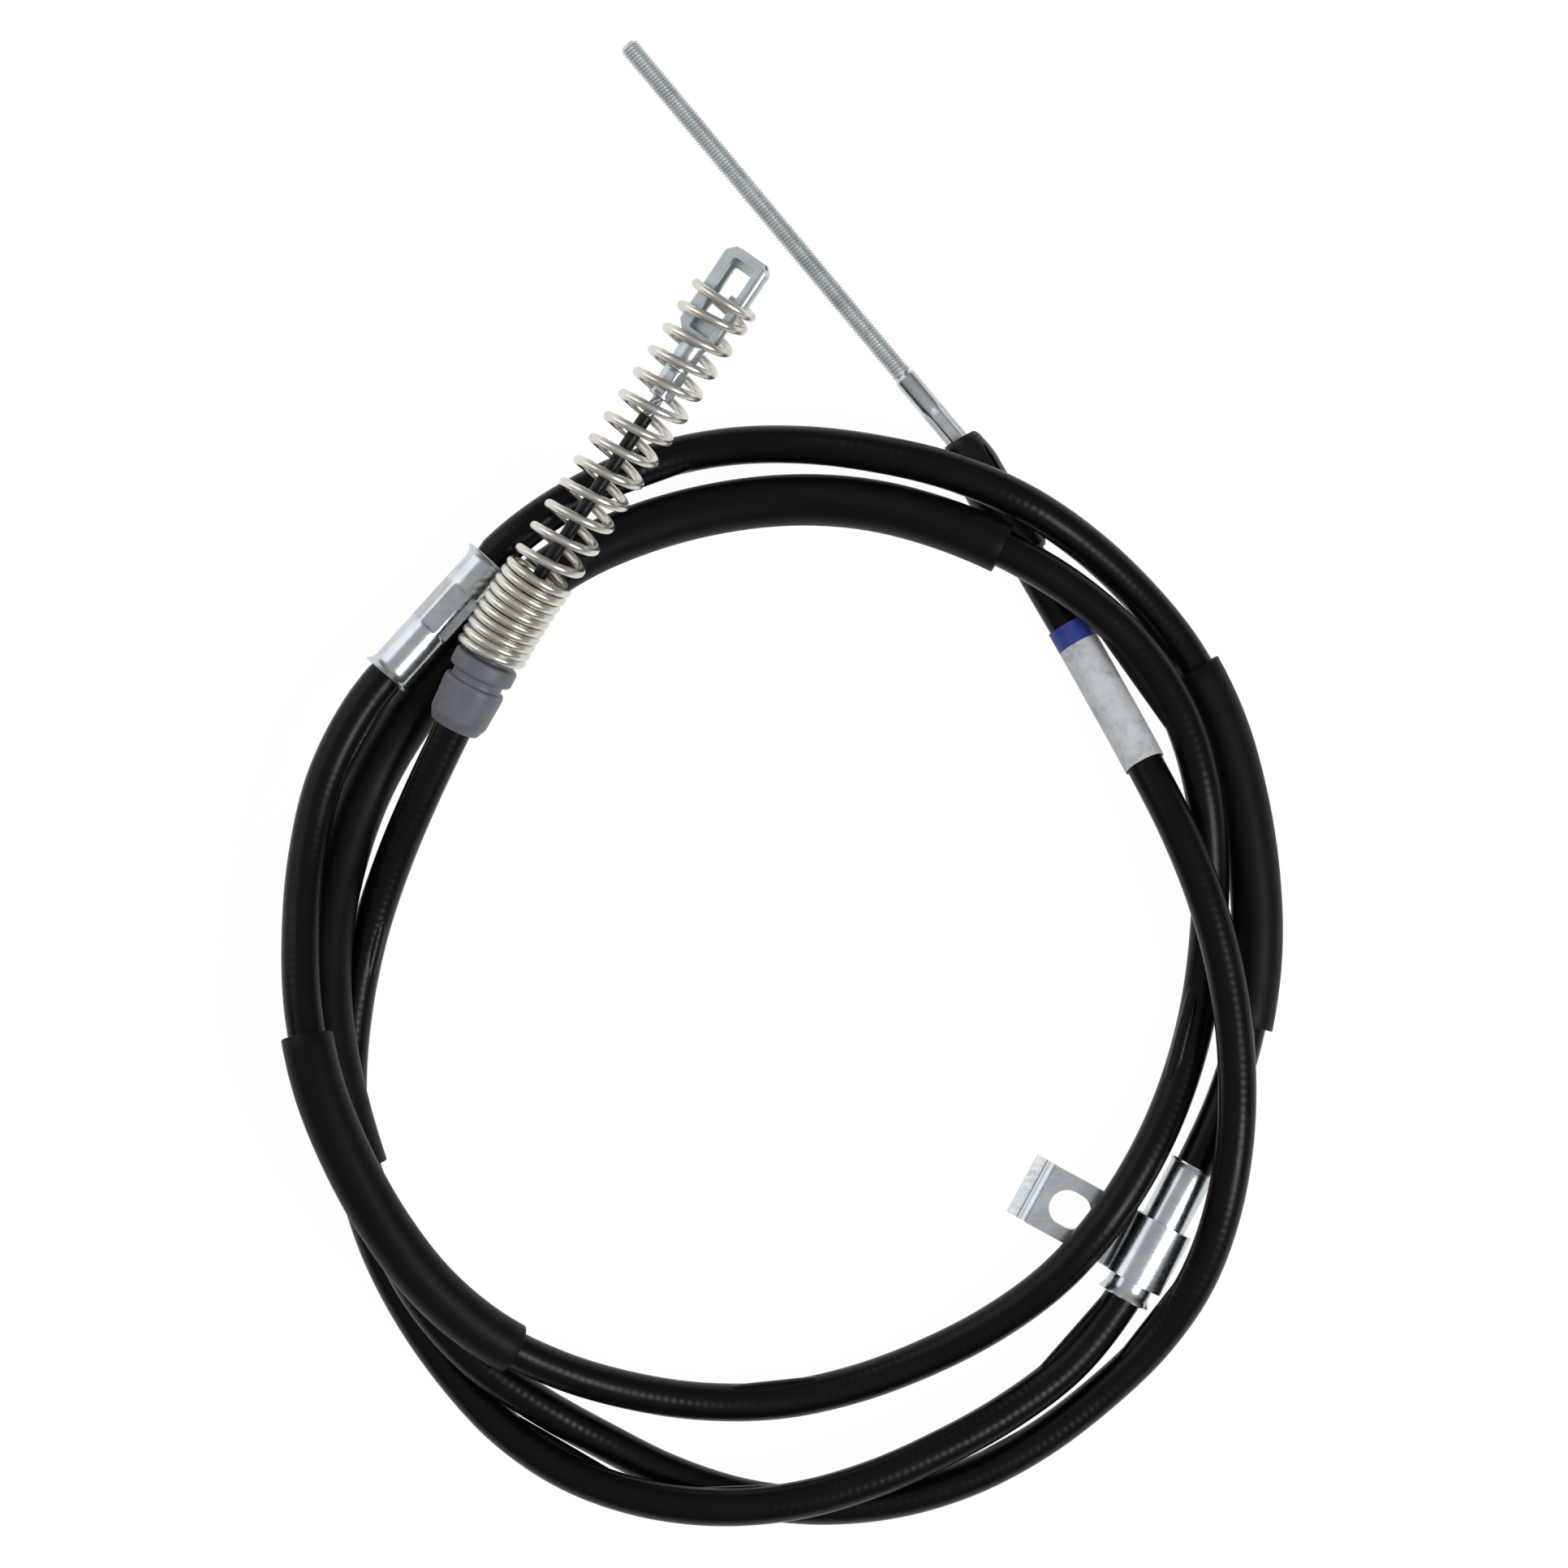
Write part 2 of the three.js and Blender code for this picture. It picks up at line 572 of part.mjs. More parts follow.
// Spring seat: collar, groove and barrel, with a neck inside the close turns.
const springAxis = new THREE.CatmullRomCurve3(SPRING_AXIS.map(vec), false, 'centripetal');
springAxis.arcLengthDivisions = 2000;
{
  const barrel = SEAT_BARREL_OD / 2;
  const collar = SEAT_COLLAR_OD / 2;
  const neck = SEAT_NECK_OD / 2;
  const bore = SEAT_BORE / 2;
  const conduitBore = CONDUIT_OD / 2 + 2 * GAP;
  const seat = turned([
    [conduitBore, SEAT_FOOT],
    [conduitBore + 1.2, SEAT_FOOT],
    [barrel - 0.5, SEAT_FOOT + 3.2],
    [barrel, -2.4],
    [barrel - 0.4, -1.2],
    [SEAT_GROOVE_OD / 2, -0.9],
    [SEAT_GROOVE_OD / 2, 1.4],
    [collar - 0.4, 1.8],
    [collar, 2.4],
    [collar, 6.0],
    [collar - 0.5, 6.7],
    [neck, 6.9],
    [neck, SEAT_NECK_END - 0.6],
    [neck - 0.4, SEAT_NECK_END],
    [bore, SEAT_NECK_END],
    [bore, -CONDUIT_IN_SEAT + 0.6],
    [conduitBore, -CONDUIT_IN_SEAT + 0.4],
  ], 28);
  addMesh('spring_seat', seat, greyMoulding(), seatFrame(seatPoint, seatAlong));
}

// Wire of the spring as a path round the spring's own, slightly bent axis.
class SpringWire extends THREE.Curve {
  constructor() {
    super();
    this.start = SPRING_START;
    this.turns = CLOSE_TURNS + OPEN_TURNS + END_TURNS;
    this.axisLength = springAxis.getLength();
  }

  advance(turn) {
    const close = Math.min(turn, CLOSE_TURNS);
    const open = THREE.MathUtils.clamp(turn - CLOSE_TURNS, 0, OPEN_TURNS);
    const end = Math.max(turn - CLOSE_TURNS - OPEN_TURNS, 0);
    return close * CLOSE_PITCH + open * OPEN_PITCH + end * END_PITCH;
  }

  getPoint(t, target = new THREE.Vector3()) {
    const turn = t * this.turns;
    const u = (this.start + this.advance(turn)) / this.axisLength;
    const centre = springAxis.getPointAt(u);
    const along = springAxis.getTangentAt(u);
    const side = new THREE.Vector3().crossVectors(UP, along).normalize();
    const rise = new THREE.Vector3().crossVectors(along, side);
    const radius = (SPRING_OD - WIRE_OD) / 2;
    const angle = 2 * Math.PI * (turn - CLOSE_TURNS - SPRING_PHASE);
    return target.copy(centre)
      .addScaledVector(side, radius * Math.cos(angle))
      .addScaledVector(rise, radius * Math.sin(angle));
  }
}
{
  const wire = new SpringWire();
  wire.arcLengthDivisions = 3000;
  const steps = Math.round(wire.turns * SPRING_STEPS_PER_TURN);
  addMesh('return_spring', sweep(tubeSection(WIRE_OD, 6), wire, steps), springSteel());
}

// Eye: a strip folded along one edge, both faces with the same window, and its crimp barrel.
const eyePoint = vec(EYE_POINT);
const eyeAlong = vec(SPRING_AXIS[SPRING_AXIS.length - 1]).sub(vec(SPRING_AXIS[3])).normalize();
const eyeFrame = seatFrame(eyePoint, eyeAlong);
{
  const half = EYE_WIDTH / 2;
  const outline = new THREE.Shape([
    new THREE.Vector2(-half, EYE_CHAMFER),
    new THREE.Vector2(-half + EYE_CHAMFER, 0),
    new THREE.Vector2(half - 0.6, 0),
    new THREE.Vector2(half, 0.6),
    new THREE.Vector2(half, EYE_LENGTH - EYE_CHAMFER),
    new THREE.Vector2(half - EYE_CHAMFER, EYE_LENGTH),
    new THREE.Vector2(-half + EYE_CHAMFER, EYE_LENGTH),
    new THREE.Vector2(-half, EYE_LENGTH - EYE_CHAMFER),
  ]);
  const windowShape = new THREE.Shape([
    new THREE.Vector2(-EYE_WINDOW_WIDTH / 2, 6.4),
    new THREE.Vector2(EYE_WINDOW_WIDTH / 2, 6.4),
    new THREE.Vector2(EYE_WINDOW_WIDTH / 2, 5.0 + EYE_WINDOW_LENGTH),
    new THREE.Vector2(EYE_WINDOW_WIDTH / 2 - 1.4, 6.4 + EYE_WINDOW_LENGTH),
    new THREE.Vector2(-EYE_WINDOW_WIDTH / 2 + 1.4, 6.4 + EYE_WINDOW_LENGTH),
    new THREE.Vector2(-EYE_WINDOW_WIDTH / 2, 5.0 + EYE_WINDOW_LENGTH),
  ]);
  const plate = moved(
    new THREE.ExtrudeGeometry(outline, { depth: EYE_DEPTH, bevelEnabled: false }),
    0, 0, -EYE_DEPTH / 2,
  );
  const inside = moved(
    new THREE.BoxGeometry(EYE_WIDTH, EYE_LENGTH + 6, EYE_DEPTH - 2 * EYE_SHEET),
    -EYE_SHEET, EYE_LENGTH / 2 + 6.4, 0,
  );
  const windowCut = moved(
    new THREE.ExtrudeGeometry(windowShape, { depth: 3 * EYE_DEPTH, bevelEnabled: false }),
    0, 0, -1.5 * EYE_DEPTH,
  );
  const barrel = BARREL_OD / 2;
  const ropeHole = EYE_ROPE_OD / 2 + GAP;
  const barrelBody = turned([
    [0, 1.5],
    [barrel - 0.9, 1.5],
    [barrel, 0.2],
    [barrel, -8.4],
    [barrel - 0.7, -8.8],
    [barrel - 0.7, -10.0],
    [barrel, -10.4],
    [barrel, -BARREL_LENGTH + 0.5],
    [barrel - 0.4, -BARREL_LENGTH],
    [ropeHole, -BARREL_LENGTH],
    [ropeHole, -BARREL_LENGTH + 9],
    [0, -BARREL_LENGTH + 9],
  ], 24);
  let eye = toSolid(barrelBody);
  for (let i = 0; i < 6; i += 1) {
    const block = moved(new THREE.BoxGeometry(20, 8.6, 20), 0, -14.7, BARREL_OD / 2 - 0.35 + 10);
    eye = eye.subtract(toSolid(block.applyMatrix4(new THREE.Matrix4().makeRotationY((i * Math.PI) / 3))));
  }
  eye = eye.add(toSolid(plate).subtract(toSolid(inside)).subtract(toSolid(windowCut)));
  addMesh('cable_eye', toGeometry(eye), zincSteel(), eyeFrame);

  const bareRope = new THREE.CylinderGeometry(EYE_ROPE_OD / 2, EYE_ROPE_OD / 2, 14, 10);
  moved(bareRope, 0, -BARREL_LENGTH + 8 - 7, 0);
  addMesh('eye_cable', bareRope, ropeSteel(), eyeFrame);

  const coatFrom = -BARREL_LENGTH - 6 - GAP;
  const coated = new THREE.CylinderGeometry(COATED_OD / 2, COATED_OD / 2, COATED_LENGTH, 12);
  moved(coated, 0, coatFrom - COATED_LENGTH / 2, 0);
  addMesh('eye_cable_coating', coated, look(0x161617, 0.35, 0.0), eyeFrame);
}

export default group;
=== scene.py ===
# %% [markdown]
# # Parking brake cable, coiled
# A sheathed steel rope about 2.5 m long, coiled as it is packed. One end carries a threaded
# stud behind a black end cap, the other a sheet-metal eye inside a return spring on a grey
# seat. On the conduit sit three protective sleeves, a crimped ferrule, a bracket tube with its
# clamp, and a blank label. Blender works in metres, so a size in millimetres is multiplied by MM.

import math

import bmesh
import bpy
import numpy as np
from mathutils import Matrix, Vector


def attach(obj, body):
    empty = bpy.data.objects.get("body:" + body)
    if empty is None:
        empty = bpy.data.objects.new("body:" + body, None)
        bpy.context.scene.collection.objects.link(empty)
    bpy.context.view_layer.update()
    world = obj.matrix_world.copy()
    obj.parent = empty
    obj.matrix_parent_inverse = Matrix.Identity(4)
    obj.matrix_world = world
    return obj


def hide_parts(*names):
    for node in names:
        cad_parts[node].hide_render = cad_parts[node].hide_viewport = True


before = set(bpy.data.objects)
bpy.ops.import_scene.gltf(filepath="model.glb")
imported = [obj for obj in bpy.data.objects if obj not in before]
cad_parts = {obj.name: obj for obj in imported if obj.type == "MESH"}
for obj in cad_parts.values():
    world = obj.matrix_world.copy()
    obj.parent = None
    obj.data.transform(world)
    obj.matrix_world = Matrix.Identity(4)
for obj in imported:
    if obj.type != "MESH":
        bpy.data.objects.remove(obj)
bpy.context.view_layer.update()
MM = 0.001
print("packed nodes:", len(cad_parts))

# %% [markdown]
# ## Camera
# The photograph looks straight down on the coil. From 1.5 m up, a turn that lies higher looks
# slightly larger, as it does in the picture; an orthographic camera would lose that.

# %% Camera
CAMERA_PLACE = (-0.0001, -0.0005, 1.5)
LENS_MM = 118.15
scene = bpy.context.scene


def add_object(name, data):
    """A new object in the scene, at the origin."""
    obj = bpy.data.objects.new(name, data)
    scene.collection.objects.link(obj)
    return obj


camera_data = bpy.data.cameras.new("camera")
camera_data.sensor_width = 36.0
camera_data.lens = LENS_MM
camera = add_object("camera", camera_data)
camera.location = CAMERA_PLACE
scene.camera = camera
scene.view_settings.view_transform = "Standard"
print("camera:", CAMERA_PLACE[2], "m up, lens", LENS_MM, "mm")

# %% [markdown]
# ## Sizes
# The route of the conduit and what it carries, in millimetres. The points are the ones that the
# solids follow, from the spring seat to the mouth of the end cap, and every place with AT in
# its name is a distance along them.

# %% Route of the conduit
ROUTE = [
    [-89.6, 26.2, 24.5], [-95.5, 14.8, 22.3], [-105.1, -4.7, 17.2], [-113.7, -24.4, 10.9],
    [-120.7, -45.1, 6.4], [-125.1, -67.0, 5.6], [-126.7, -89.3, 5.7], [-124.8, -111.6, 5.7],
    [-118.7, -133.1, 5.6], [-108.8, -153.1, 5.7], [-96.0, -171.4, 6.5], [-80.7, -187.4, 9.4],
    [-62.2, -199.2, 13.6], [-41.3, -206.2, 16.7], [-19.1, -208.8, 17.7], [3.2, -207.0, 17.6],
    [24.7, -201.2, 16.6], [45.2, -192.5, 14.4], [64.8, -181.9, 11.9], [82.6, -168.6, 10.1],
    [96.7, -151.3, 9.5], [107.7, -131.8, 9.5], [118.3, -112.1, 9.5], [127.7, -91.9, 8.5],
    [134.2, -70.5, 7.7], [137.0, -48.3, 7.6], [136.2, -26.0, 7.7], [132.7, -3.9, 7.7],
    [126.5, 17.6, 7.6], [116.4, 37.5, 7.8], [102.3, 54.8, 9.6], [86.0, 69.4, 14.1],
    [67.8, 81.0, 19.8], [47.3, 89.5, 21.1], [25.9, 94.8, 17.3], [4.4, 97.6, 11.9],
    [-17.7, 97.1, 8.3], [-39.4, 92.3, 8.4], [-59.5, 83.2, 11.9], [-77.5, 70.7, 16.3],
    [-93.2, 54.9, 17.4], [-108.1, 38.2, 18.8], [-122.1, 20.8, 19.9], [-132.0, 0.8, 20.7],
    [-136.9, -20.9, 22.8], [-138.4, -42.7, 27.2], [-137.3, -64.5, 32.1], [-132.7, -86.2, 35.1],
    [-124.5, -106.9, 35.2], [-113.8, -126.5, 33.6], [-100.5, -144.2, 30.7], [-84.1, -158.6, 25.9],
    [-65.4, -168.8, 19.3], [-45.1, -175.7, 12.7], [-23.6, -179.5, 8.0], [-1.4, -179.4, 5.8],
    [20.4, -174.8, 5.7], [41.3, -166.9, 6.7], [60.9, -156.4, 9.5], [78.3, -143.0, 13.6],
    [92.9, -126.3, 16.1], [104.9, -107.6, 14.0], [114.0, -87.8, 9.0], [120.1, -66.5, 6.1],
    [122.9, -44.5, 8.0], [123.0, -22.7, 13.0], [120.4, -0.8, 17.2], [113.6, 20.3, 18.4],
    [101.3, 38.9, 18.9], [84.8, 53.9, 20.8], [65.8, 65.6, 22.4], [45.4, 74.4, 20.3],
    [24.6, 80.1, 14.5], [2.9, 81.8, 9.3], [-19.2, 79.5, 7.6], [-40.8, 73.8, 7.6],
    [-61.3, 64.8, 7.7], [-79.4, 51.8, 7.7], [-95.2, 35.9, 7.7], [-109.2, 18.5, 7.6],
    [-120.4, -0.8, 8.1], [-127.8, -21.7, 11.1], [-131.8, -43.4, 14.9], [-131.8, -65.5, 17.9],
    [-128.1, -87.5, 19.5], [-122.1, -109.0, 19.2], [-114.4, -130.0, 17.9], [-103.8, -149.6, 16.8],
    [-89.2, -166.5, 15.3], [-71.5, -179.6, 11.6], [-52.7, -190.8, 7.2], [-32.8, -200.9, 5.6],
    [-11.5, -207.7, 5.7], [10.7, -210.1, 5.7], [33.0, -208.0, 5.7], [54.3, -201.5, 5.7],
    [74.0, -191.0, 5.6], [91.8, -177.4, 6.2], [107.4, -161.8, 9.4], [119.1, -143.6, 15.0],
    [126.1, -123.0, 20.0], [129.6, -101.0, 22.0], [129.8, -78.7, 22.4], [127.0, -56.5, 23.0],
    [121.4, -34.9, 23.9], [113.3, -14.1, 22.9], [103.7, 5.5, 18.1], [93.6, 24.6, 12.1],
    [83.0, 43.9, 8.1], [71.8, 63.2, 7.2], [61.3, 81.4, 7.4], [50.8, 99.6, 7.3],
]
print("route points:", len(ROUTE))

# %% Places along the route and at its ends
FERRULE_AT = 895.6
FERRULE_LENGTH = 44.6
BRACKET_AT = 462.2
BRACKET_TUBE_LENGTH = 43.4
SLEEVE_RIGHT = [527.3, 634.2]
SLEEVE_LEFT = [1027.8, 1139.2]
SLEEVE_INNER = [1560.2, 1894.4]
LABEL_AT = 2385.6
LABEL_LENGTH = 47.0
LABEL_BAND = 6.4
CONDUIT_IN_CAP = 28.0
SEAT_POINT = [-87.98, 29.33, 25.10]
SPRING_AXIS = [
    [-87.98, 29.33, 25.10],
    [-83.09, 38.78, 26.93],
    [-76.28, 49.79, 29.70],
    [-68.71, 60.58, 32.40],
    [-45.59, 94.55, 37.50],
    [-22.63, 128.28, 42.60],
    [-8.36, 149.28, 45.80],
]
EYE_POINT = [-24.60, 125.40, 42.16]
STUD_TOWARDS = [-45.54, 213.96, 7.20]
STUD_AT_MOUTH = [50.10, 99.25, 7.20]

# %% [markdown]
# ## Paths
# A Bezier curve with a bevel could draw a cable, but rings placed one by one can change their
# shape on the way, as under a crimp. So a `Track` follows a smooth curve with frames that don't
# twist, and a `Line` is a straight axis. Both give a point and two cross directions at a
# distance.

# %% Smooth curve through the points
def catmull(points, per):
    """Points along the centripetal Catmull-Rom curve through the given ones."""
    p = np.asarray(points, float)
    out = []
    for i in range(len(p) - 1):
        p1, p2 = p[i], p[i + 1]
        p0 = p[i - 1] if i > 0 else 2 * p1 - p2
        p3 = p[i + 2] if i + 2 < len(p) else 2 * p2 - p1
        d0, d1, d2 = (
            max(np.linalg.norm(b - a) ** 0.5, 1e-4)
            for a, b in ((p0, p1), (p1, p2), (p2, p3))
        )
        t1 = ((p1 - p0) / d0 - (p2 - p0) / (d0 + d1) + (p2 - p1) / d1) * d1
        t2 = ((p2 - p1) / d1 - (p3 - p1) / (d1 + d2) + (p3 - p2) / d2) * d1
        t = np.linspace(0, 1, per, endpoint=False)[:, None]
        out.append(
            p1
            + t1 * t
            + (3 * p2 - 3 * p1 - 2 * t1 - t2) * t**2
            + (2 * p1 - 2 * p2 + t1 + t2) * t**3
        )
    out.append(p[-1:])
    return np.concatenate(out)


def unit(v):
    v = np.asarray(v, float)
    return v / np.linalg.norm(v, axis=-1, keepdims=True)


# %% Track and Line
class Track:
    """A curve through close points, measured along its length."""

    def __init__(self, points):
        self.p = np.asarray(points, float)
        steps = np.linalg.norm(np.diff(self.p, axis=0), axis=1)
        self.s = np.concatenate([[0.0], np.cumsum(steps)])
        self.length = self.s[-1]
        self.t = unit(np.gradient(self.p, axis=0))
        normals = [unit(np.cross(np.cross(self.t[0], (0, 0, 1.0)), self.t[0]))]
        for t in self.t[1:]:
            normals.append(unit(normals[-1] - t * (normals[-1] @ t)))
        self.n = np.array(normals)

    def between(self, s, values):
        return np.array([np.interp(s, self.s, values[:, k]) for k in range(3)])

    def at(self, s):
        p, n = self.between(s, self.p), self.between(s, self.n)
        t = unit(self.between(s, self.t))
        if s < 0 or s > self.length:
            p = p + t * (s - min(max(s, 0), self.length))
        n = unit(n - t * (n @ t))
        return p, n, np.cross(t, n)


class Line:
    """A straight axis with a side and an up direction."""

    def __init__(self, origin, along, up=(0, 0, 1.0)):
        self.o = np.asarray(origin, float)
        self.d = unit(along)
        self.side = unit(np.cross(self.d, up))
        self.up = np.cross(self.side, self.d)

    def at(self, s):
        return self.o + self.d * s, self.up, self.side

    def matrix(self):
        """Local X to the side, Y along, Z up."""
        m = Matrix.Identity(4)
        for k, v in enumerate((self.side, self.d, self.up, self.o)):
            for r in range(3):
                m[r][k] = v[r]
        return m


# %% The cable's own paths
def held_line(at, length, flip=False):
    """Straight axis of a tube that sits on the conduit, centred at that distance."""
    a, b = route.at((at - length / 2) * MM)[0], route.at((at + length / 2) * MM)[0]
    return Line((a + b) / 2, a - b if flip else b - a)


route = Track(catmull(np.array(ROUTE) * MM, 8))
mouth = np.array(ROUTE[-1]) * MM
cap_line = Line(mouth, mouth - np.array(ROUTE[-2]) * MM)
stud_foot = np.array(STUD_AT_MOUTH) * MM
stud_line = Line(stud_foot, np.array(STUD_TOWARDS) * MM - stud_foot)
seat_line = Line(np.array(SEAT_POINT) * MM, np.array(ROUTE[0]) - np.array(ROUTE[1]))
spring_axis = Track(catmull(np.array(SPRING_AXIS) * MM, 40))
spring_top = np.array(SPRING_AXIS[-1]) - np.array(SPRING_AXIS[3])
ferrule_line = held_line(FERRULE_AT, FERRULE_LENGTH, flip=True)
bracket_line = held_line(BRACKET_AT, BRACKET_TUBE_LENGTH)
print("route length:", round(route.length, 3), "m")

# %% [markdown]
# ## Mesh builders
# Most pieces here are turned or extruded, so one function turns a profile of (distance, radius)
# pairs round a path. A profile that ends where it starts makes a closed ring; any other is
# capped. The UV map holds metres along in x and turns round in y, for finishes that follow it.

# %% Skin round a path
SHARP = 35


def mesh_object(name, verts, faces, uvs, sharp):
    mesh = bpy.data.meshes.new(name)
    mesh.from_pydata([tuple(v) for v in verts], [], faces)
    layer = mesh.uv_layers.new(name="UVMap")
    layer.data.foreach_set("uv", np.asarray(uvs, np.float32).ravel())
    mesh.update()
    mesh.shade_smooth()
    mesh.set_sharp_from_angle(angle=math.radians(sharp))
    return add_object(name, mesh)


def skin(name, path, profile, segments=32, shape=None, sharp=SHARP):
    closed = profile[0] == profile[-1]
    rings = profile[:-1] if closed else profile
    angles = np.linspace(0, 2 * math.pi, segments, endpoint=False)
    co, si = np.cos(angles)[:, None], np.sin(angles)[:, None]
    verts = []
    for s, r in rings:
        p, n, b = path.at(s)
        radii = np.full(segments, r) if shape is None else shape(s, angles, r)
        verts.append(p + radii[:, None] * (co * n + si * b))
    verts = np.concatenate(verts)
    count = len(rings)
    faces, uvs = [], []
    for i in range(count if closed else count - 1):
        k = (i + 1) % count
        a, b = i * segments, k * segments
        u0, u1 = rings[i][0], rings[k][0]
        for j in range(segments):
            after = (j + 1) % segments
            faces.append((a + j, a + after, b + after, b + j))
            v0, v1 = j / segments, (j + 1) / segments
            uvs += [(u0, v0), (u0, v1), (u1, v1), (u1, v0)]
    if not closed:
        first, last = len(verts), len(verts) + 1
        verts = np.vstack([verts, path.at(rings[0][0])[0], path.at(rings[-1][0])[0]])
        base = (count - 1) * segments
        for j in range(segments):
            after = (j + 1) % segments
            faces.append((first, after, j))
            faces.append((last, base + j, base + after))
            uvs += [(rings[0][0], 0.5)] * 3 + [(rings[-1][0], 0.5)] * 3
    return mesh_object(name, verts, faces, uvs, sharp)


# %% Outlines with rounded corners
def mm(points):
    """Points given in millimetres, in metres."""
    return [(a * MM, b * MM) for a, b in points]


def rectangle(x0, y0, x1, y1):
    return mm([(x0, y0), (x1, y0), (x1, y1), (x0, y1)])


def corner(a, b, c, radius, share, steps):
    """The arc that takes the place of corner b between its neighbours a and c."""
    la, lc = np.linalg.norm(a - b), np.linalg.norm(c - b)
    r = min(radius, share * la, share * lc)
    s, e = b + (a - b) / la * r, b + (c - b) / lc * r
    parts = [k / steps for k in range(steps + 1)]
    return [tuple((1 - t) ** 2 * s + 2 * t * (1 - t) * b + t**2 * e) for t in parts]


def rounded(points, radius, steps=4):
    """An open outline with its inner corners rounded."""
    p = [np.asarray(q, float) for q in points]
    out = [tuple(p[0])]
    for a, b, c in zip(p, p[1:], p[2:]):
        out += corner(a, b, c, radius, 0.45, steps)
    return out + [tuple(p[-1])]


def loop_outline(points, radius, steps=5):
    """A closed outline with all its corners rounded."""
    p = [np.asarray(q, float) for q in points]
    out = []
    for a, b, c in zip(p[-1:] + p[:-1], p, p[1:] + p[:1]):
        out += corner(a, b, c, radius, 0.49, steps)
    return out


def ring_profile(points, radius, steps=3):
    """A closed profile for `skin` with rounded corners, from corner points in order."""
    p = list(points)
    middle = tuple((np.asarray(p[0]) + np.asarray(p[-1])) / 2)
    out = rounded([middle] + p + [middle], radius, steps)
    return out[:-1] + [out[0]]


# %% Solids from faces, cuts and soft edges
def applied(obj):
    """The object with its modifiers made real."""
    graph = bpy.context.evaluated_depsgraph_get()
    mesh = bpy.data.meshes.new_from_object(obj.evaluated_get(graph))
    mesh.name = obj.name
    obj.modifiers.clear()
    obj.data = mesh
    return obj


def combine(obj, other, operation):
    """Cuts the other shape out with DIFFERENCE, or welds it on with UNION."""
    boolean = obj.modifiers.new("shape", "BOOLEAN")
    boolean.operation = operation
    boolean.solver = "EXACT"
    boolean.object = other
    applied(obj)
    bpy.data.objects.remove(other)


def softened(obj, width, angle):
    """Small rounds on edges sharper than the angle, with flat faces kept flat."""
    bevel = obj.modifiers.new("bevel", "BEVEL")
    bevel.width = width
    bevel.segments = 2
    bevel.limit_method = "ANGLE"
    bevel.angle_limit = math.radians(angle)
    applied(obj)
    obj.data.shade_smooth()
    obj.data.set_sharp_from_angle(angle=math.radians(SHARP))
    weighted = obj.modifiers.new("weighted", "WEIGHTED_NORMAL")
    weighted.weight = 100
    weighted.keep_sharp = True
    applied(obj)


def solid(name, verts, faces, line):
    """A closed mesh given in the line's own axes, its faces turned outwards."""
    bm = bmesh.new()
    made = [bm.verts.new(v) for v in verts]
    for face in faces:
        bm.faces.new([made[i] for i in face])
    bmesh.ops.recalc_face_normals(bm, faces=bm.faces)
    mesh = bpy.data.meshes.new(name)
    bm.to_mesh(mesh)
    bm.free()
    mesh.transform(line.matrix())
    return add_object(name, mesh)


def prism(name, outline, low, high, line):
    """An outline in the line's X and Y, from low to high in its Z."""
    n = len(outline)
    verts = [(x, y, z) for z in (low, high) for x, y in outline]
    faces = [tuple(range(n))[::-1], tuple(range(n, 2 * n))]
    faces += [(i, (i + 1) % n, n + (i + 1) % n, n + i) for i in range(n)]
    return solid(name, verts, faces, line)


# %% [markdown]
# ## Nodes and wires
# One function adds a node to any tree. The spring and every strand of the rope are round wires
# along a path, so one geometry node tree sweeps them all: it takes a curve, a radius, a number
# of sides and a material, and closes the ends.

# %% Add a node
def fill(tree, node, settings):
    """A setting is a property, an input's value, or an output to link to it."""
    for key, value in settings.items():
        if isinstance(value, bpy.types.NodeSocket):
            tree.links.new(value, node.inputs[key])
        elif key == "stops":
            elements = node.color_ramp.elements
            while len(elements) < len(value):
                elements.new(0.5)
            for element, (place, colour) in zip(elements, value):
                element.position, element.color = place, colour
        elif isinstance(key, int) or key in node.inputs:
            node.inputs[key].default_value = value
        else:
            setattr(node, key, value)
    return node


def add(tree, kind, settings):
    return fill(tree, tree.nodes.new(kind), settings)


# %% Node tree of a swept wire
def build_wire_tree():
    tree = bpy.data.node_groups.new("swept_wire", "GeometryNodeTree")
    for label, way, kind in (
        ("Geometry", "INPUT", "NodeSocketGeometry"),
        ("Radius", "INPUT", "NodeSocketFloat"),
        ("Sides", "INPUT", "NodeSocketInt"),
        ("Material", "INPUT", "NodeSocketMaterial"),
        ("Geometry", "OUTPUT", "NodeSocketGeometry"),
    ):
        tree.interface.new_socket(label, in_out=way, socket_type=kind)
    given = add(tree, "NodeGroupInput", {}).outputs
    circle = add(
        tree,
        "GeometryNodeCurvePrimitiveCircle",
        {"Radius": given["Radius"], "Resolution": given["Sides"]},
    )
    sweep = add(
        tree,
        "GeometryNodeCurveToMesh",
        {
            "Fill Caps": True,
            "Curve": given["Geometry"],
            "Profile Curve": circle.outputs["Curve"],
        },
    )
    smooth = add(tree, "GeometryNodeSetShadeSmooth", {"Geometry": sweep.outputs["Mesh"]})
    real = add(tree, "GeometryNodeRealizeInstances", {"Geometry": smooth.outputs["Geometry"]})
    paint = add(
        tree,
        "GeometryNodeSetMaterial",
        {"Geometry": real.outputs["Geometry"], "Material": given["Material"]},
    )
    add(tree, "NodeGroupOutput", {"Geometry": paint.outputs["Geometry"]})
    return tree


WIRE_TREE = build_wire_tree()
print("wire tree:", len(WIRE_TREE.nodes), "nodes")


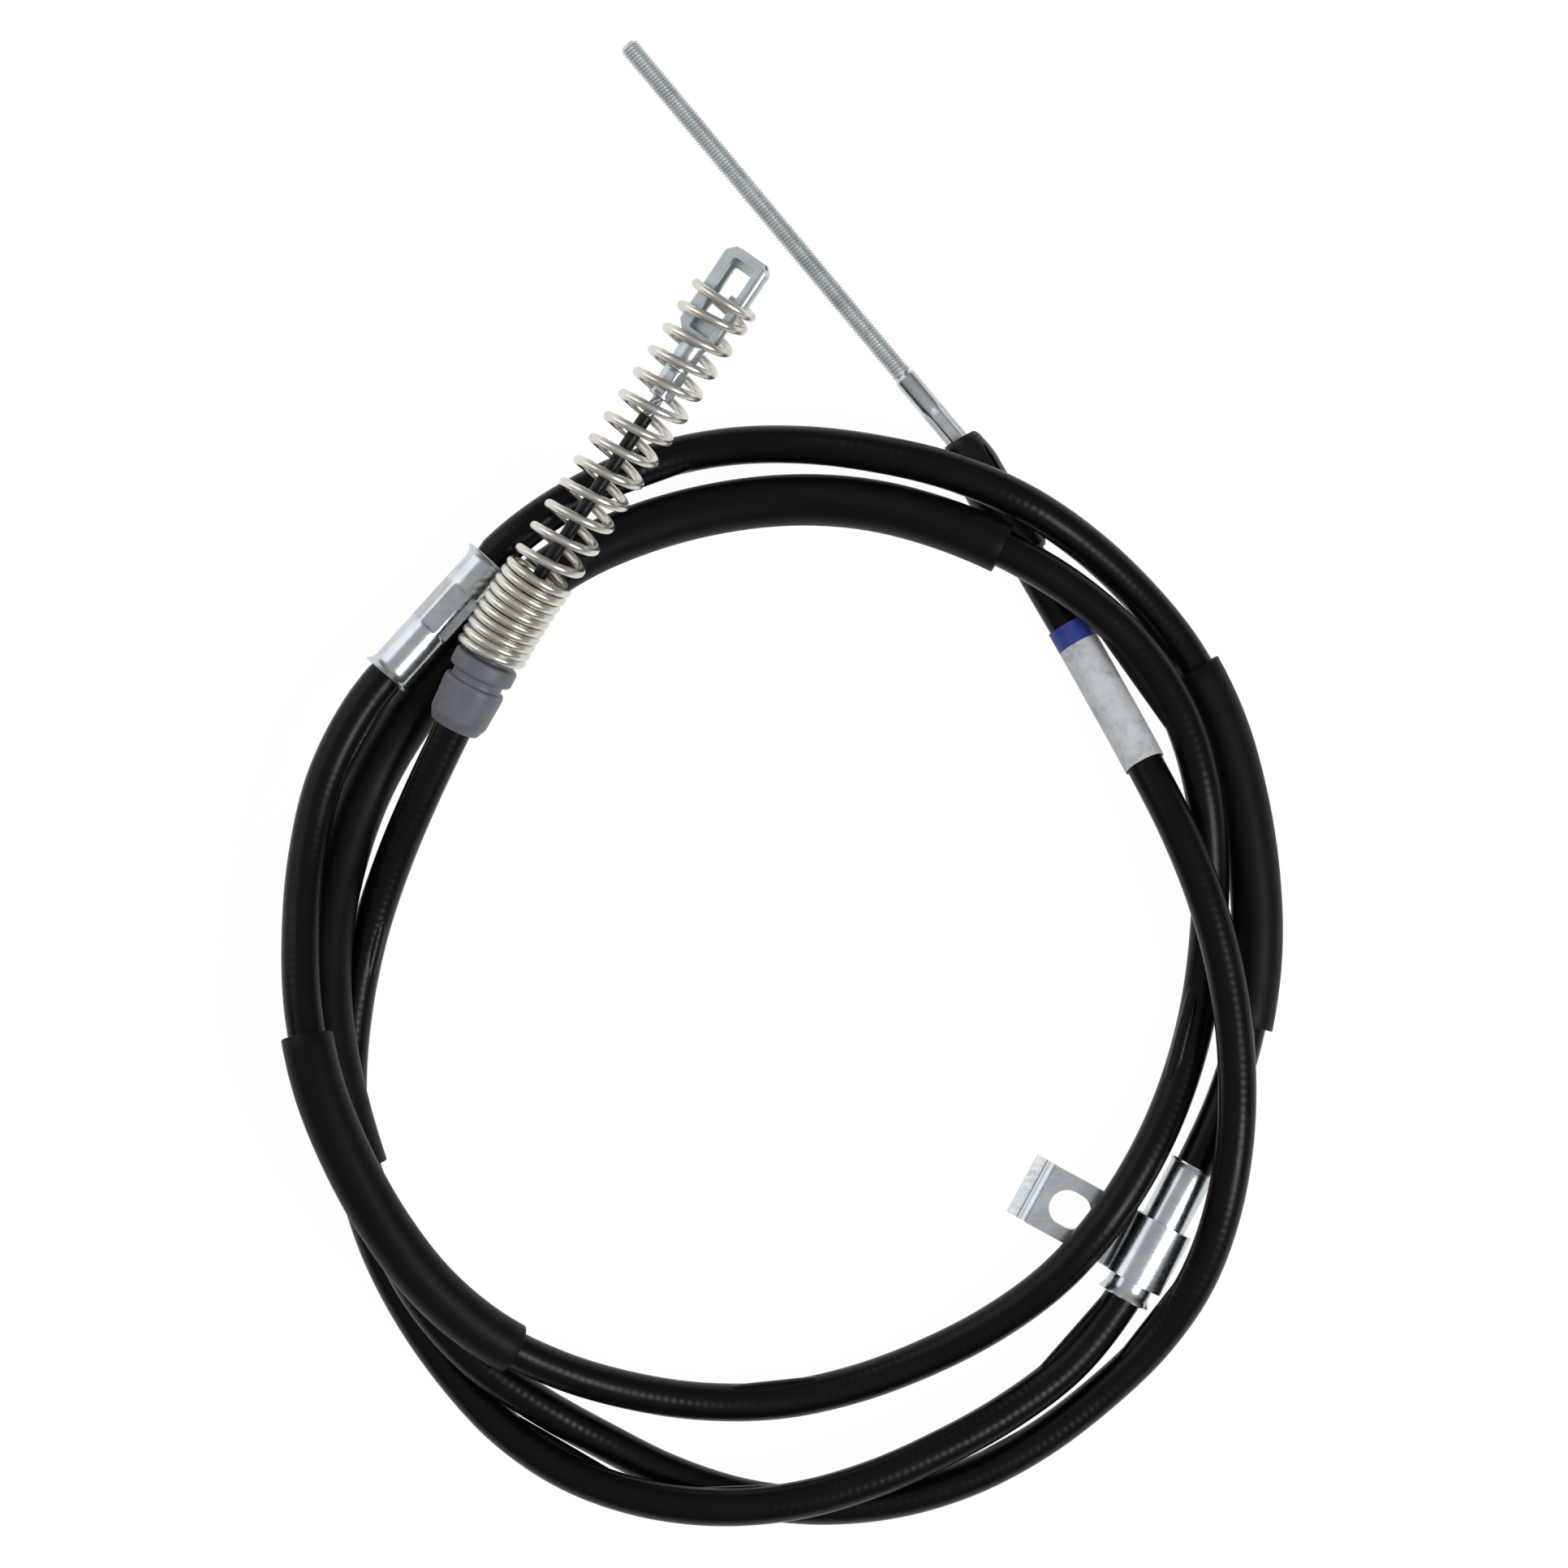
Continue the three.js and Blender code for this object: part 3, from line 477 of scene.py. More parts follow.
# %% Sweep wires along lists of points
def wires(name, paths, radius, sides, material):
    """One mesh of round wires along the given lists of points."""
    curve = bpy.data.curves.new(name, "CURVE")
    curve.dimensions = "3D"
    for points in paths:
        spline = curve.splines.new("POLY")
        spline.points.add(len(points) - 1)
        flat = np.hstack([np.asarray(points), np.ones((len(points), 1))])
        spline.points.foreach_set("co", flat.ravel())
    source = add_object(name + "_path", curve)
    modifier = source.modifiers.new("wire", "NODES")
    modifier.node_group = WIRE_TREE
    values = {"Radius": radius, "Sides": sides, "Material": material}
    for item in WIRE_TREE.interface.items_tree:
        if item.in_out == "INPUT" and item.name in values:
            modifier[item.identifier] = values[item.name]
    graph = bpy.context.evaluated_depsgraph_get()
    mesh = bpy.data.meshes.new_from_object(source.evaluated_get(graph))
    mesh.name = name
    bpy.data.objects.remove(source)
    mesh.set_sharp_from_angle(angle=math.radians(45))
    return add_object(name, mesh)


# %% [markdown]
# ## Finishes
# Colours are sRGB hex values and sizes of patterns are in millimetres. Every finish is made of
# the same three things: a colour that drifts a little, a roughness that varies in patches, and
# a chain of bumps. Painted images could do it too, but they blur when seen from close by.

# %% Values for finishes
def srgb(code):
    channels = [int(code[i : i + 2], 16) / 255 for i in (1, 3, 5)]
    linear = [c / 12.92 if c <= 0.04045 else ((c + 0.055) / 1.055) ** 2.4 for c in channels]
    return (*linear, 1.0)


def grey(*stops):
    """Ramp stops of plain levels."""
    return [(place, (level, level, level, 1.0)) for place, level in stops]


def blotches(coords, size, detail, rough=0.55):
    """Settings for a noise whose patches are about that many millimetres wide."""
    return {"Vector": coords, "Scale": 1 / (size * MM), "Detail": detail, "Roughness": rough}


def new_finish(name):
    material = bpy.data.materials.new(name)
    material.use_nodes = True
    tree = material.node_tree
    coords = add(tree, "ShaderNodeTexCoord", {}).outputs
    return material, tree, tree.nodes["Principled BSDF"], coords


def relief(tree, heights):
    """The normal after a chain of bumps, each a height output and a depth in metres."""
    settings = {}
    for height, depth in heights:
        settings.update({"Strength": 1.0, "Distance": depth, "Height": height})
        settings["Normal"] = add(tree, "ShaderNodeBump", settings).outputs["Normal"]
    return settings["Normal"]


# %% [markdown]
# ### Extruded PVC
# The conduit's cover is soft PVC drawn over a flat wire wound like a screw. The eye sees a
# satin black with long highlights, and the wire's turns as faint waves 2.4 mm apart. The
# sleeves are a duller tube of the same stuff, and the rope's coating is smooth nylon. The
# fine grain is drawn 1.1 mm wide, coarser than the real one, which wouldn't show from here.

# %% Extruded PVC
def extruded(name, dark, light, low, high, gloss, turns=None):
    material, tree, bsdf, coords = new_finish(name)
    noise, ramp, maths = "ShaderNodeTexNoise", "ShaderNodeValToRGB", "ShaderNodeMath"
    place = coords["Object"]
    bloom = add(tree, noise, blotches(place, 45, 4)).outputs["Fac"]
    fine = add(tree, noise, blotches(place, 1.1, 2)).outputs["Fac"]
    broad = add(tree, noise, blotches(place, 12, 3)).outputs["Fac"]
    rolling = add(tree, noise, blotches(place, 6, 2)).outputs["Fac"]
    colours = [(0.3, srgb(dark)), (0.75, srgb(light))]
    base = add(tree, ramp, {"Fac": bloom, "stops": colours})
    share = add(tree, maths, {"operation": "MULTIPLY", 0: fine, 1: 0.3}).outputs[0]
    both = {"operation": "MULTIPLY_ADD", 0: broad, 1: 0.7, 2: share}
    mixed = add(tree, maths, both).outputs[0]
    rough = add(tree, ramp, {"Fac": mixed, "stops": grey((0.3, low), (0.7, high))})
    heights = [(fine, 0.012 * MM), (rolling, 0.06 * MM)]
    if turns:
        split = add(tree, "ShaderNodeSeparateXYZ", {0: coords["UV"]}).outputs
        wound = {"operation": "DIVIDE", 0: split[0], 1: turns * MM}
        wound = add(tree, maths, wound).outputs[0]
        phase = add(tree, maths, {"operation": "ADD", 0: wound, 1: split[1]}).outputs[0]
        angle = {"operation": "MULTIPLY", 0: phase, 1: 2 * math.pi}
        angle = add(tree, maths, angle).outputs[0]
        wave = add(tree, maths, {"operation": "SINE", 0: angle}).outputs[0]
        patch = add(tree, noise, blotches(place, 30, 2)).outputs["Fac"]
        levels = {"Fac": patch, "stops": grey((0.35, 0.15), (0.65, 1.0))}
        shown = add(tree, ramp, levels).outputs["Color"]
        wave = add(tree, maths, {"operation": "MULTIPLY", 0: wave, 1: shown}).outputs[0]
        heights.append((wave, 0.02 * MM))
    surface = {
        "Base Color": base.outputs["Color"],
        "Roughness": rough.outputs["Color"],
        "Specular IOR Level": gloss,
        "Normal": relief(tree, heights),
    }
    fill(tree, bsdf, surface)
    return material


WIRE_TURNS = 2.4
COVER = extruded("conduit_pvc", "#080505", "#0d0a0a", 0.25, 0.36, 0.15, WIRE_TURNS)
SLEEVE = extruded("sleeve_pvc", "#090606", "#0e0b0b", 0.4, 0.52, 0.14)
COATING = extruded("rope_coating_nylon", "#080707", "#0e0c0c", 0.34, 0.42, 0.25)
print("extruded:", COVER.name, SLEEVE.name, COATING.name)

# %% [markdown]
# ### Moulded nylon
# The end cap is black and the spring seat grey glass-filled nylon. What the eye gets is the
# mould's fine grain, which breaks up each highlight. The real grain is about a tenth of a
# millimetre and too fine for this view, so it is drawn at half a millimetre.

# %% Moulded nylon
def moulded(name, dark, light, low, high, gloss):
    material, tree, bsdf, coords = new_finish(name)
    noise, ramp = "ShaderNodeTexNoise", "ShaderNodeValToRGB"
    place = coords["Object"]
    cloud = add(tree, noise, blotches(place, 4, 5)).outputs["Fac"]
    grain = add(tree, noise, blotches(place, 0.5, 2)).outputs["Fac"]
    sink = add(tree, noise, blotches(place, 4, 1)).outputs["Fac"]
    colours = [(0.35, srgb(dark)), (0.7, srgb(light))]
    base = add(tree, ramp, {"Fac": cloud, "stops": colours})
    rough = add(tree, ramp, {"Fac": grain, "stops": grey((0.3, low), (0.7, high))})
    surface = {
        "Base Color": base.outputs["Color"],
        "Roughness": rough.outputs["Color"],
        "Specular IOR Level": gloss,
        "Normal": relief(tree, [(grain, 0.01 * MM), (sink, 0.02 * MM)]),
    }
    fill(tree, bsdf, surface)
    return material


CAP_NYLON = moulded("cap_nylon", "#0a090a", "#100f10", 0.3, 0.42, 0.25)
SEAT_NYLON = moulded("seat_nylon", "#666870", "#70727a", 0.38, 0.5, 0.4)
print("moulded:", CAP_NYLON.name, SEAT_NYLON.name)

# %% [markdown]
# ### Zinc-plated and drawn steel
# Bright zinc plate on mild steel has a bluish, slightly cloudy shine with handling marks across
# it. Where a press has closed it, it is matt and hammered. The spring wire's plate is warmer.
# The marks are drawn 3 mm wide and the dents 1.1 mm, coarser than real, so that they show.

# %% Plated steel
def plated(name, dark, light, low, high, hammer=0.0):
    material, tree, bsdf, coords = new_finish(name)
    noise, ramp = "ShaderNodeTexNoise", "ShaderNodeValToRGB"
    place = coords["Object"]
    drawn = {"Vector": place, "Scale": (1, 3, 1)}
    drawn = add(tree, "ShaderNodeMapping", drawn).outputs["Vector"]
    cloud = add(tree, noise, blotches(place, 7, 5)).outputs["Fac"]
    marks = add(tree, noise, blotches(drawn, 3, 2)).outputs["Fac"]
    rolling = add(tree, noise, blotches(place, 12, 1)).outputs["Fac"]
    colours = [(0.3, srgb(dark)), (0.7, srgb(light))]
    base = add(tree, ramp, {"Fac": cloud, "stops": colours})
    rough = add(tree, ramp, {"Fac": marks, "stops": grey((0.3, low), (0.75, high))})
    heights = [(rolling, 0.02 * MM)]
    if hammer:
        dents = add(tree, noise, blotches(place, 1.1, 1)).outputs["Fac"]
        heights.append((dents, hammer * MM))
    surface = {
        "Base Color": base.outputs["Color"],
        "Metallic": 1.0,
        "Roughness": rough.outputs["Color"],
        "Normal": relief(tree, heights),
    }
    fill(tree, bsdf, surface)
    return material


HAMMER = 0.03
ZINC = plated("zinc_plate", "#bdc4ca", "#d2d8dc", 0.22, 0.3)
ZINC_PRESSED = plated("zinc_plate_pressed", "#b3b9be", "#c8cdd1", 0.38, 0.5, HAMMER)
ZINC_BLUE = plated("zinc_plate_blue", "#b6c0c4", "#ccd4d6", 0.3, 0.42)
THREAD = plated("zinc_thread", "#c6cccd", "#dce1e1", 0.5, 0.6)
SPRING_WIRE = plated("spring_wire", "#d0ccc0", "#e2dfd5", 0.26, 0.36)
ROPE_WIRE = plated("rope_wire", "#9ea2a5", "#bdc1c3", 0.3, 0.42)
print("plated:", ZINC.name, ZINC_PRESSED.name, THREAD.name, SPRING_WIRE.name)

# %% [markdown]
# ### Label film
# Silver-white polyester film with a dark blue band at the end towards the cap. The eye sees it
# cloudy from handling, with a soft crease or two. It carries no lettering, so a rule on the
# distance along the conduit is enough to place the band.

# %% Label film
def label_film():
    material, tree, bsdf, coords = new_finish("label_film")
    noise, ramp, maths = "ShaderNodeTexNoise", "ShaderNodeValToRGB", "ShaderNodeMath"
    place = coords["Object"]
    ragged = add(tree, noise, blotches(place, 4, 2)).outputs["Fac"]
    cloud = add(tree, noise, blotches(place, 6, 6, rough=0.65)).outputs["Fac"]
    wrinkle = add(tree, noise, blotches(place, 3, 4)).outputs["Fac"]
    crease = add(tree, noise, blotches(place, 14, 1)).outputs["Fac"]
    along = add(tree, "ShaderNodeSeparateXYZ", {0: coords["UV"]}).outputs[0]
    wobble = add(tree, maths, {"operation": "MULTIPLY", 0: ragged, 1: 0.4 * MM}).outputs[0]
    reach = add(tree, maths, {"operation": "ADD", 0: along, 1: wobble}).outputs[0]
    band_from = (LABEL_AT + LABEL_LENGTH / 2 - LABEL_BAND) * MM
    edge = {"operation": "GREATER_THAN", 0: reach, 1: band_from}
    edge = add(tree, maths, edge).outputs[0]
    film = [(0.32, srgb("#a9aeb3")), (0.5, srgb("#ced1d4")), (0.7, srgb("#dfe1e2"))]
    white = add(tree, ramp, {"Fac": cloud, "stops": film}).outputs["Color"]
    ink = [(0.3, srgb("#22307f")), (0.7, srgb("#36459c"))]
    blue = add(tree, ramp, {"Fac": cloud, "stops": ink}).outputs["Color"]
    mixed = add(tree, "ShaderNodeMix", {"data_type": "RGBA", 0: edge, 6: white, 7: blue})
    rough = add(tree, ramp, {"Fac": cloud, "stops": grey((0.3, 0.45), (0.7, 0.6))})
    surface = {
        "Base Color": mixed.outputs[2],
        "Roughness": rough.outputs["Color"],
        "Normal": relief(tree, [(wrinkle, 0.04 * MM), (crease, 0.15 * MM)]),
    }
    fill(tree, bsdf, surface)
    return material


LABEL = label_film()
print("film:", LABEL.name)


# %% Dress a piece
def dress(obj, material, body, *nodes):
    """Gives a piece its finish, its body and the solids it stands for."""
    if not obj.data.materials:
        obj.data.materials.append(material)
    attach(obj, body)
    if nodes:
        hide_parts(*nodes)
    print(obj.name, "-", len(obj.data.polygons), "faces, on", body)
    return obj


# %% [markdown]
# ## End cap
# The black moulding that the stud slides out of: a tapered mouth, a long body, and two snap
# lugs at its lower end. It is turned from one profile, and the lugs are welded on with an exact
# boolean, so that a soft edge can run round them.

# %% End cap
CAP = 7.1 * MM
LUG_AT, SLOT_AT = 35.6 * MM, 9.5 * MM
cap_points = [
    (-2.2, 4.45), (0, 4.45), (0, 4.9), (-1.3, 5.75), (-6.0, 6.75), (-9.0, 7.1),
    (-37.8, 7.1), (-39.0, 6.3), (-39.0, 6.15), (-38.2, 5.8), (-6.0, 5.8),
]
cap_profile = ring_profile(mm(cap_points)[::-1], 0.5 * MM)
cap = skin("end_cap_moulding", cap_line, cap_profile, 64)

# %% Snap lugs and slot of the cap
lug_points = mm([(-1.9, -1.9), (1.9, -1.9), (1.3, 1.9), (-1.3, 1.9)])
for out in (cap_line.side, -cap_line.side):
    foot = cap_line.o - cap_line.d * LUG_AT + out * (CAP - 0.3 * MM)
    lug_line = Line(foot, cap_line.d, out)
    lug_outline = loop_outline(lug_points, 0.3 * MM, 2)
    combine(cap, prism("lug", lug_outline, -0.4 * MM, 1.2 * MM, lug_line), "UNION")
slanted = cap_line.side * 0.72 + cap_line.up * 0.69
slot_line = Line(cap_line.o - cap_line.d * SLOT_AT + slanted * CAP, cap_line.d, slanted)
slot_outline = loop_outline(rectangle(-0.7, -4.5, 0.7, 4.5), 0.6 * MM, 4)
combine(cap, prism("slot", slot_outline, -0.7 * MM, 1.5 * MM, slot_line), "DIFFERENCE")
softened(cap, 0.12 * MM, 40)
dress(cap, CAP_NYLON, "casing", "end_cap")

# %% [markdown]
# ## Conduit
# The cover follows the route at its real length and is pressed in under the ferrule. It is
# hollow, with the steel rope inside. The real one lies on itself where its turns cross, so the
# heights are in the route, and rings every 3 mm are close enough for its bends.

# %% Conduit
CONDUIT, CONDUIT_BORE, CONDUIT_WAIST = 5.5 * MM, 2.6 * MM, 4.9 * MM
CONDUIT_LENGTH = route.length - CONDUIT_IN_CAP * MM
END_EDGE = 0.5 * MM


def waist(s, angles, r):
    """The cover's radius, pressed in under the ferrule."""
    lo, hi = (FERRULE_AT - 22.6) * MM, (FERRULE_AT + 22.6) * MM
    return np.full(len(angles), min(r, CONDUIT_WAIST) if lo < s < hi else r)


stations = list(np.linspace(END_EDGE, CONDUIT_LENGTH - END_EDGE, 860))
conduit_profile = [(0, 2.9 * MM), (0, 5.1 * MM)] + [(s, CONDUIT) for s in stations]
conduit_profile += [(CONDUIT_LENGTH, 5.1 * MM), (CONDUIT_LENGTH, 2.9 * MM)]
conduit_profile += [(s, CONDUIT_BORE) for s in stations[::-1][::20]]
conduit = skin("conduit_cover", route, conduit_profile + conduit_profile[:1], 32, waist)
dress(conduit, COVER, "casing", "conduit")
print("conduit length:", round(CONDUIT_LENGTH, 3), "m")

# %% [markdown]
# ## Sleeves
# Plain extruded tubes that keep the cable from rubbing, cut square and a little loose on the
# conduit. They are swept on the same route, so that the gap is even in every bend.

# %% Sleeves
SLEEVE_OUTSIDE, SLEEVE_BORE, SLEEVE_EDGE = 7.5 * MM, 5.9 * MM, 0.25 * MM


def sleeve(name, node, span):
    a, b = span[0] * MM, span[1] * MM
    along = list(np.linspace(a, b, max(8, int((b - a) / (4 * MM)))))
    ro, ri, e = SLEEVE_OUTSIDE, SLEEVE_BORE, SLEEVE_EDGE
    profile = [(a, ri + e), (a, ro - e), (a + 0.4 * e, ro - 0.4 * e)]
    profile += [(s, ro) for s in [a + e] + along[1:-1] + [b - e]]
    profile += [(b - 0.4 * e, ro - 0.4 * e), (b, ro - e), (b, ri + e)]
    profile += [(s, ri) for s in [b - e] + along[1:-1][::-1] + [a + e]]
    obj = skin(name, route, profile + profile[:1], 48)
    return dress(obj, SLEEVE, "casing", node)


sleeves = [
    sleeve("sleeve_tube_right", "sleeve_right", SLEEVE_RIGHT),
    sleeve("sleeve_tube_left", "sleeve_left", SLEEVE_LEFT),
    sleeve("sleeve_tube_inner", "sleeve_inner", SLEEVE_INNER),
]

# %% [markdown]
# ## Label
# A thin film wrapped once round the conduit, its free edge laid over its start. The overlap is
# a small step in the radius, which catches a line of light as the real edge does.

# %% Label
LABEL_OUTSIDE, LABEL_INSIDE, FILM_STEP = 6.1 * MM, 5.8 * MM, 0.08 * MM
LAP_FROM, LAP_TO = 4.0, 4.5


def overlap(s, angles, r):
    """The film's outside, one layer higher where its free edge lies."""
    lift = np.where((angles > LAP_FROM) & (angles < LAP_TO), FILM_STEP, 0.0)
    return np.full(len(angles), r) + (lift if r > 5.95 * MM else 0)


label_ends = (LABEL_AT - LABEL_LENGTH / 2) * MM, (LABEL_AT + LABEL_LENGTH / 2) * MM
label_steps = list(np.linspace(*label_ends, 24))
label_profile = [(s, LABEL_OUTSIDE) for s in label_steps]
label_profile += [(s, LABEL_INSIDE) for s in label_steps[::-1]]
label = skin("label_wrap", route, label_profile + label_profile[:1], 72, overlap)
dress(label, LABEL, "casing", "identification_label")

# %% [markdown]
# ## Crimped ferrule
# A steel tube with flared lips, pressed to a hexagon over its middle so that it grips the
# cover. The round radius gives way to the hexagon's along a short ease, as pressed metal does.

# %% Pressed hexagon
def hexed(s, angles, r, lo, hi, flats, soft):
    """The radius of a round tube between lo and hi, pressed to that width across flats."""
    ease = min(max((s - lo) / soft, 0), 1) * min(max((hi - s) / soft, 0), 1)
    around = (angles + math.pi / 6) % (math.pi / 3) - math.pi / 6
    flat = flats / 2 / np.cos(around)
    return np.where(flat < r, r + (flat - r) * ease, r)


def mark_pressed(obj, line, lo, hi, half_flat):
    """Faces on a pressed flat take the matt, hammered finish."""
    turn = math.pi / 3
    for poly in obj.data.polygons:
        rel = np.array(poly.center) - line.o
        angle = math.atan2(rel @ line.side, rel @ line.up)
        off = (angle + turn / 2) % turn - turn / 2
        radius = math.hypot(rel @ line.side, rel @ line.up)
        if lo < rel @ line.d < hi and abs(off) < half_flat and radius > 2.7 * MM:
            poly.material_index = 1


# %% Ferrule
FERRULE, FERRULE_BORE, ACROSS_FLATS = 6.3 * MM, 5.25 * MM, 11.4 * MM
PRESS_FROM, PRESS_TO, PRESS_EASE = -4.4 * MM, 11.0 * MM, 0.7 * MM


def ferrule_shape(s, angles, r):
    if r < 5.5 * MM:
        return np.full(len(angles), r)
    return hexed(s, angles, r, PRESS_FROM, PRESS_TO, ACROSS_FLATS, PRESS_EASE)


half = FERRULE_LENGTH / 2 * MM
lip = [
    (0.0, 6.6), (0.0, 7.55), (0.2, 7.75), (0.5, 7.6), (1.0, 7.05), (1.7, 6.6), (2.6, 6.38),
]
flare_low = [(s - half, r) for s, r in mm(lip)]
flare_high = [(-s, r) for s, r in flare_low[::-1]]
middle = [(s, FERRULE) for s in np.linspace(-half + 3.4 * MM, half - 3.4 * MM, 96)]
bore = [(half - 1.4 * MM, FERRULE_BORE), (-half + 1.4 * MM, FERRULE_BORE)]
ferrule_profile = flare_low + middle + flare_high + bore + flare_low[:1]
ferrule = skin("ferrule_crimped", ferrule_line, ferrule_profile, 96, ferrule_shape)
dress(ferrule, ZINC, "casing", "crimp_ferrule")
ferrule.data.materials.append(ZINC_PRESSED)
mark_pressed(ferrule, ferrule_line, -3.8 * MM, 10.4 * MM, 0.40)

# %% [markdown]
# ## Bracket tube
# A plain steel tube under the clamp. Its lower end is flared and hammered into five waves, so
# the radius dips five times round there, deeper towards the rim.

# %% Bracket tube
TUBE, TUBE_BORE = 6.75 * MM, 5.85 * MM
WAVES, WAVE_DEPTH, WAVES_BELOW, WAVE_RISE = 5, 0.9, -18.5 * MM, 3.2 * MM


def tube_waves(s, angles, r):
    depth = min(max((WAVES_BELOW - s) / WAVE_RISE, 0), 1)
    if r < 6.0 * MM:
        return np.full(len(angles), r)
    return r - depth * WAVE_DEPTH * MM * (0.5 + 0.5 * np.cos(WAVES * angles + 0.6)) ** 2


half = BRACKET_TUBE_LENGTH / 2 * MM
flared = [(0.0, 6.7), (0.0, 7.8), (0.3, 8.05), (0.9, 7.9), (1.8, 7.3), (2.7, 6.9)]
beaded = [(-1.2, 7.0), (-0.5, 7.35), (0.0, 7.25), (0.0, 6.5), (-0.9, 5.85)]
tube_profile = [(s - half, r) for s, r in mm(flared)]
tube_profile += [(s, TUBE) for s in np.linspace(-half + 3.6 * MM, half - 2.0 * MM, 12)]
tube_profile += [(s + half, r) for s, r in mm(beaded)]
tube_profile += [(-half + 2.6 * MM, TUBE_BORE), tube_profile[0]]
tube = skin("bracket_tube_flared", bracket_line, tube_profile, 72, tube_waves)
dress(tube, ZINC, "casing", "bracket_tube")

# %% [markdown]
# ## Clamp
# One strip of sheet: its lower leaf runs in from a bent lip, wraps the tube and comes back as
# the upper leaf. So it is drawn as a centreline, thickened and given a width, as it is bent in
# the works, and a slotted hole goes through both leaves.

# %% Bent strip
def strip(name, centre, thickness, width, line, offset):
    """A bent strip: a centreline in local X and Z, thickened and given its width along Y."""
    p = np.asarray(centre, float)
    t = unit(np.gradient(p, axis=0))
    n = np.stack([-t[:, 1], t[:, 0]], -1)
    left, right = p + n * thickness / 2, p - n * thickness / 2
    count = len(p)
    verts = []
    for y in (offset - width / 2, offset + width / 2):
        verts += [(x, y, z) for x, z in left] + [(x, y, z) for x, z in right]
    faces = []
    k = 2 * count
    for i in range(count - 1):
        faces.append((i, i + 1, k + i + 1, k + i))
        faces.append((count + i + 1, count + i, k + count + i, k + count + i + 1))
        faces.append((i + 1, i, count + i, count + i + 1))
        faces.append((k + i, k + i + 1, k + count + i + 1, k + count + i))
    for i in (0, count - 1):
        faces.append((i, k + i, k + count + i, count + i))
    return solid(name, verts, faces, line)


# %% Centreline of the clamp
CLAMP_SHEET, CLAMP_WIDTH, CLAMP_OFFSET = 2.2 * MM, 18.8 * MM, -6.7 * MM
LEAF_DROP, LEAF_GAP = 3.4 * MM, 0.3 * MM
BEND = 1.2 * MM
ring_r = 7.05 * MM + CLAMP_SHEET / 2
z_low = -LEAF_DROP - LEAF_GAP / 2 - CLAMP_SHEET / 2
z_high = -LEAF_DROP + LEAF_GAP / 2 + CLAMP_SHEET / 2
x_low, x_high = -math.sqrt(ring_r**2 - z_low**2), -math.sqrt(ring_r**2 - z_high**2)
a_low, a_high = math.atan2(z_low, x_low), math.atan2(z_high, x_high)
arc = [
    (ring_r * math.cos(a), ring_r * math.sin(a))
    for a in np.linspace(a_low + 0.25, a_high + 2 * math.pi - 0.16, 72)
]
lead = [
    (-40.9 * MM, z_low - 1.5 * MM),
    (-37.0 * MM, z_low - 1.9 * MM),
    (-35.2 * MM, z_low),
    (x_low - 1.0 * MM, z_low),
]
tail = [(x_high - 0.9 * MM, z_high), (-34.9 * MM, z_high)]
centre = rounded(lead + arc[:1], BEND, 6) + arc[1:-1] + rounded(arc[-1:] + tail, BEND, 6)
print("clamp strip:", len(centre), "stations")

# %% Clamp with its slotted hole
HOLE_AT, HOLE_RADIUS, HOLE_RUN = 25.5 * MM, 5.25 * MM, 1.0 * MM
clamp = strip("clamp_strap", centre, CLAMP_SHEET, CLAMP_WIDTH, bracket_line, CLAMP_OFFSET)
hole_place = bracket_line.matrix() @ Vector((-HOLE_AT, CLAMP_OFFSET, -LEAF_DROP))
hole_line = Line(hole_place, bracket_line.d)
hole_outline = [
    (side * HOLE_RUN + HOLE_RADIUS * math.sin(a), HOLE_RADIUS * math.cos(a))
    for side, start in ((1, 0.0), (-1, math.pi))
    for a in np.linspace(start, start + math.pi, 24)
]
hole = prism("hole", hole_outline[::-1], -8 * MM, 8 * MM, hole_line)
combine(clamp, hole, "DIFFERENCE")
softened(clamp, 0.22 * MM, 50)
dress(clamp, ZINC, "casing", "clamp_bracket")

# %% [markdown]
# ## Threaded stud
# M6 thread with a 1 mm pitch, then the socket that holds the rope: round above, pressed to a
# hexagon below. A bump could hint at the thread, but its outline is seen from the side, so
# the radius itself rises and falls once a millimetre, an eighth of a turn further each ring.

# %% Shape of the stud
SOCKET_FROM = -6.65 * MM
ROD_FROM = SOCKET_FROM + 31 * MM
STUD_LENGTH = ROD_FROM + 125 * MM
ROD, THREAD_DEPTH = 2.95 * MM, 0.58 * MM


def stud_shape(s, angles, r):
    if s > ROD_FROM + 0.5 * MM and r > 1.9 * MM:
        turn = (s / MM + angles / (2 * math.pi)) % 1.0
        flank = np.clip(np.abs(turn - 0.5) * 2.5 - 0.12, 0, 1)
        run_out = (s - ROD_FROM - 0.5 * MM) / (1.5 * MM)
        fade = min(1.0, run_out, (STUD_LENGTH - s) / (0.8 * MM) + 0.2)
        return r - THREAD_DEPTH * flank * max(fade, 0)
    if s < ROD_FROM - 1 * MM and r > 2.5 * MM:
        lo, hi = SOCKET_FROM - 2 * MM, SOCKET_FROM + 18.8 * MM
        return hexed(s, angles, r, lo, hi, 5.8 * MM, 2.5 * MM)
    return np.full(len(angles), r)


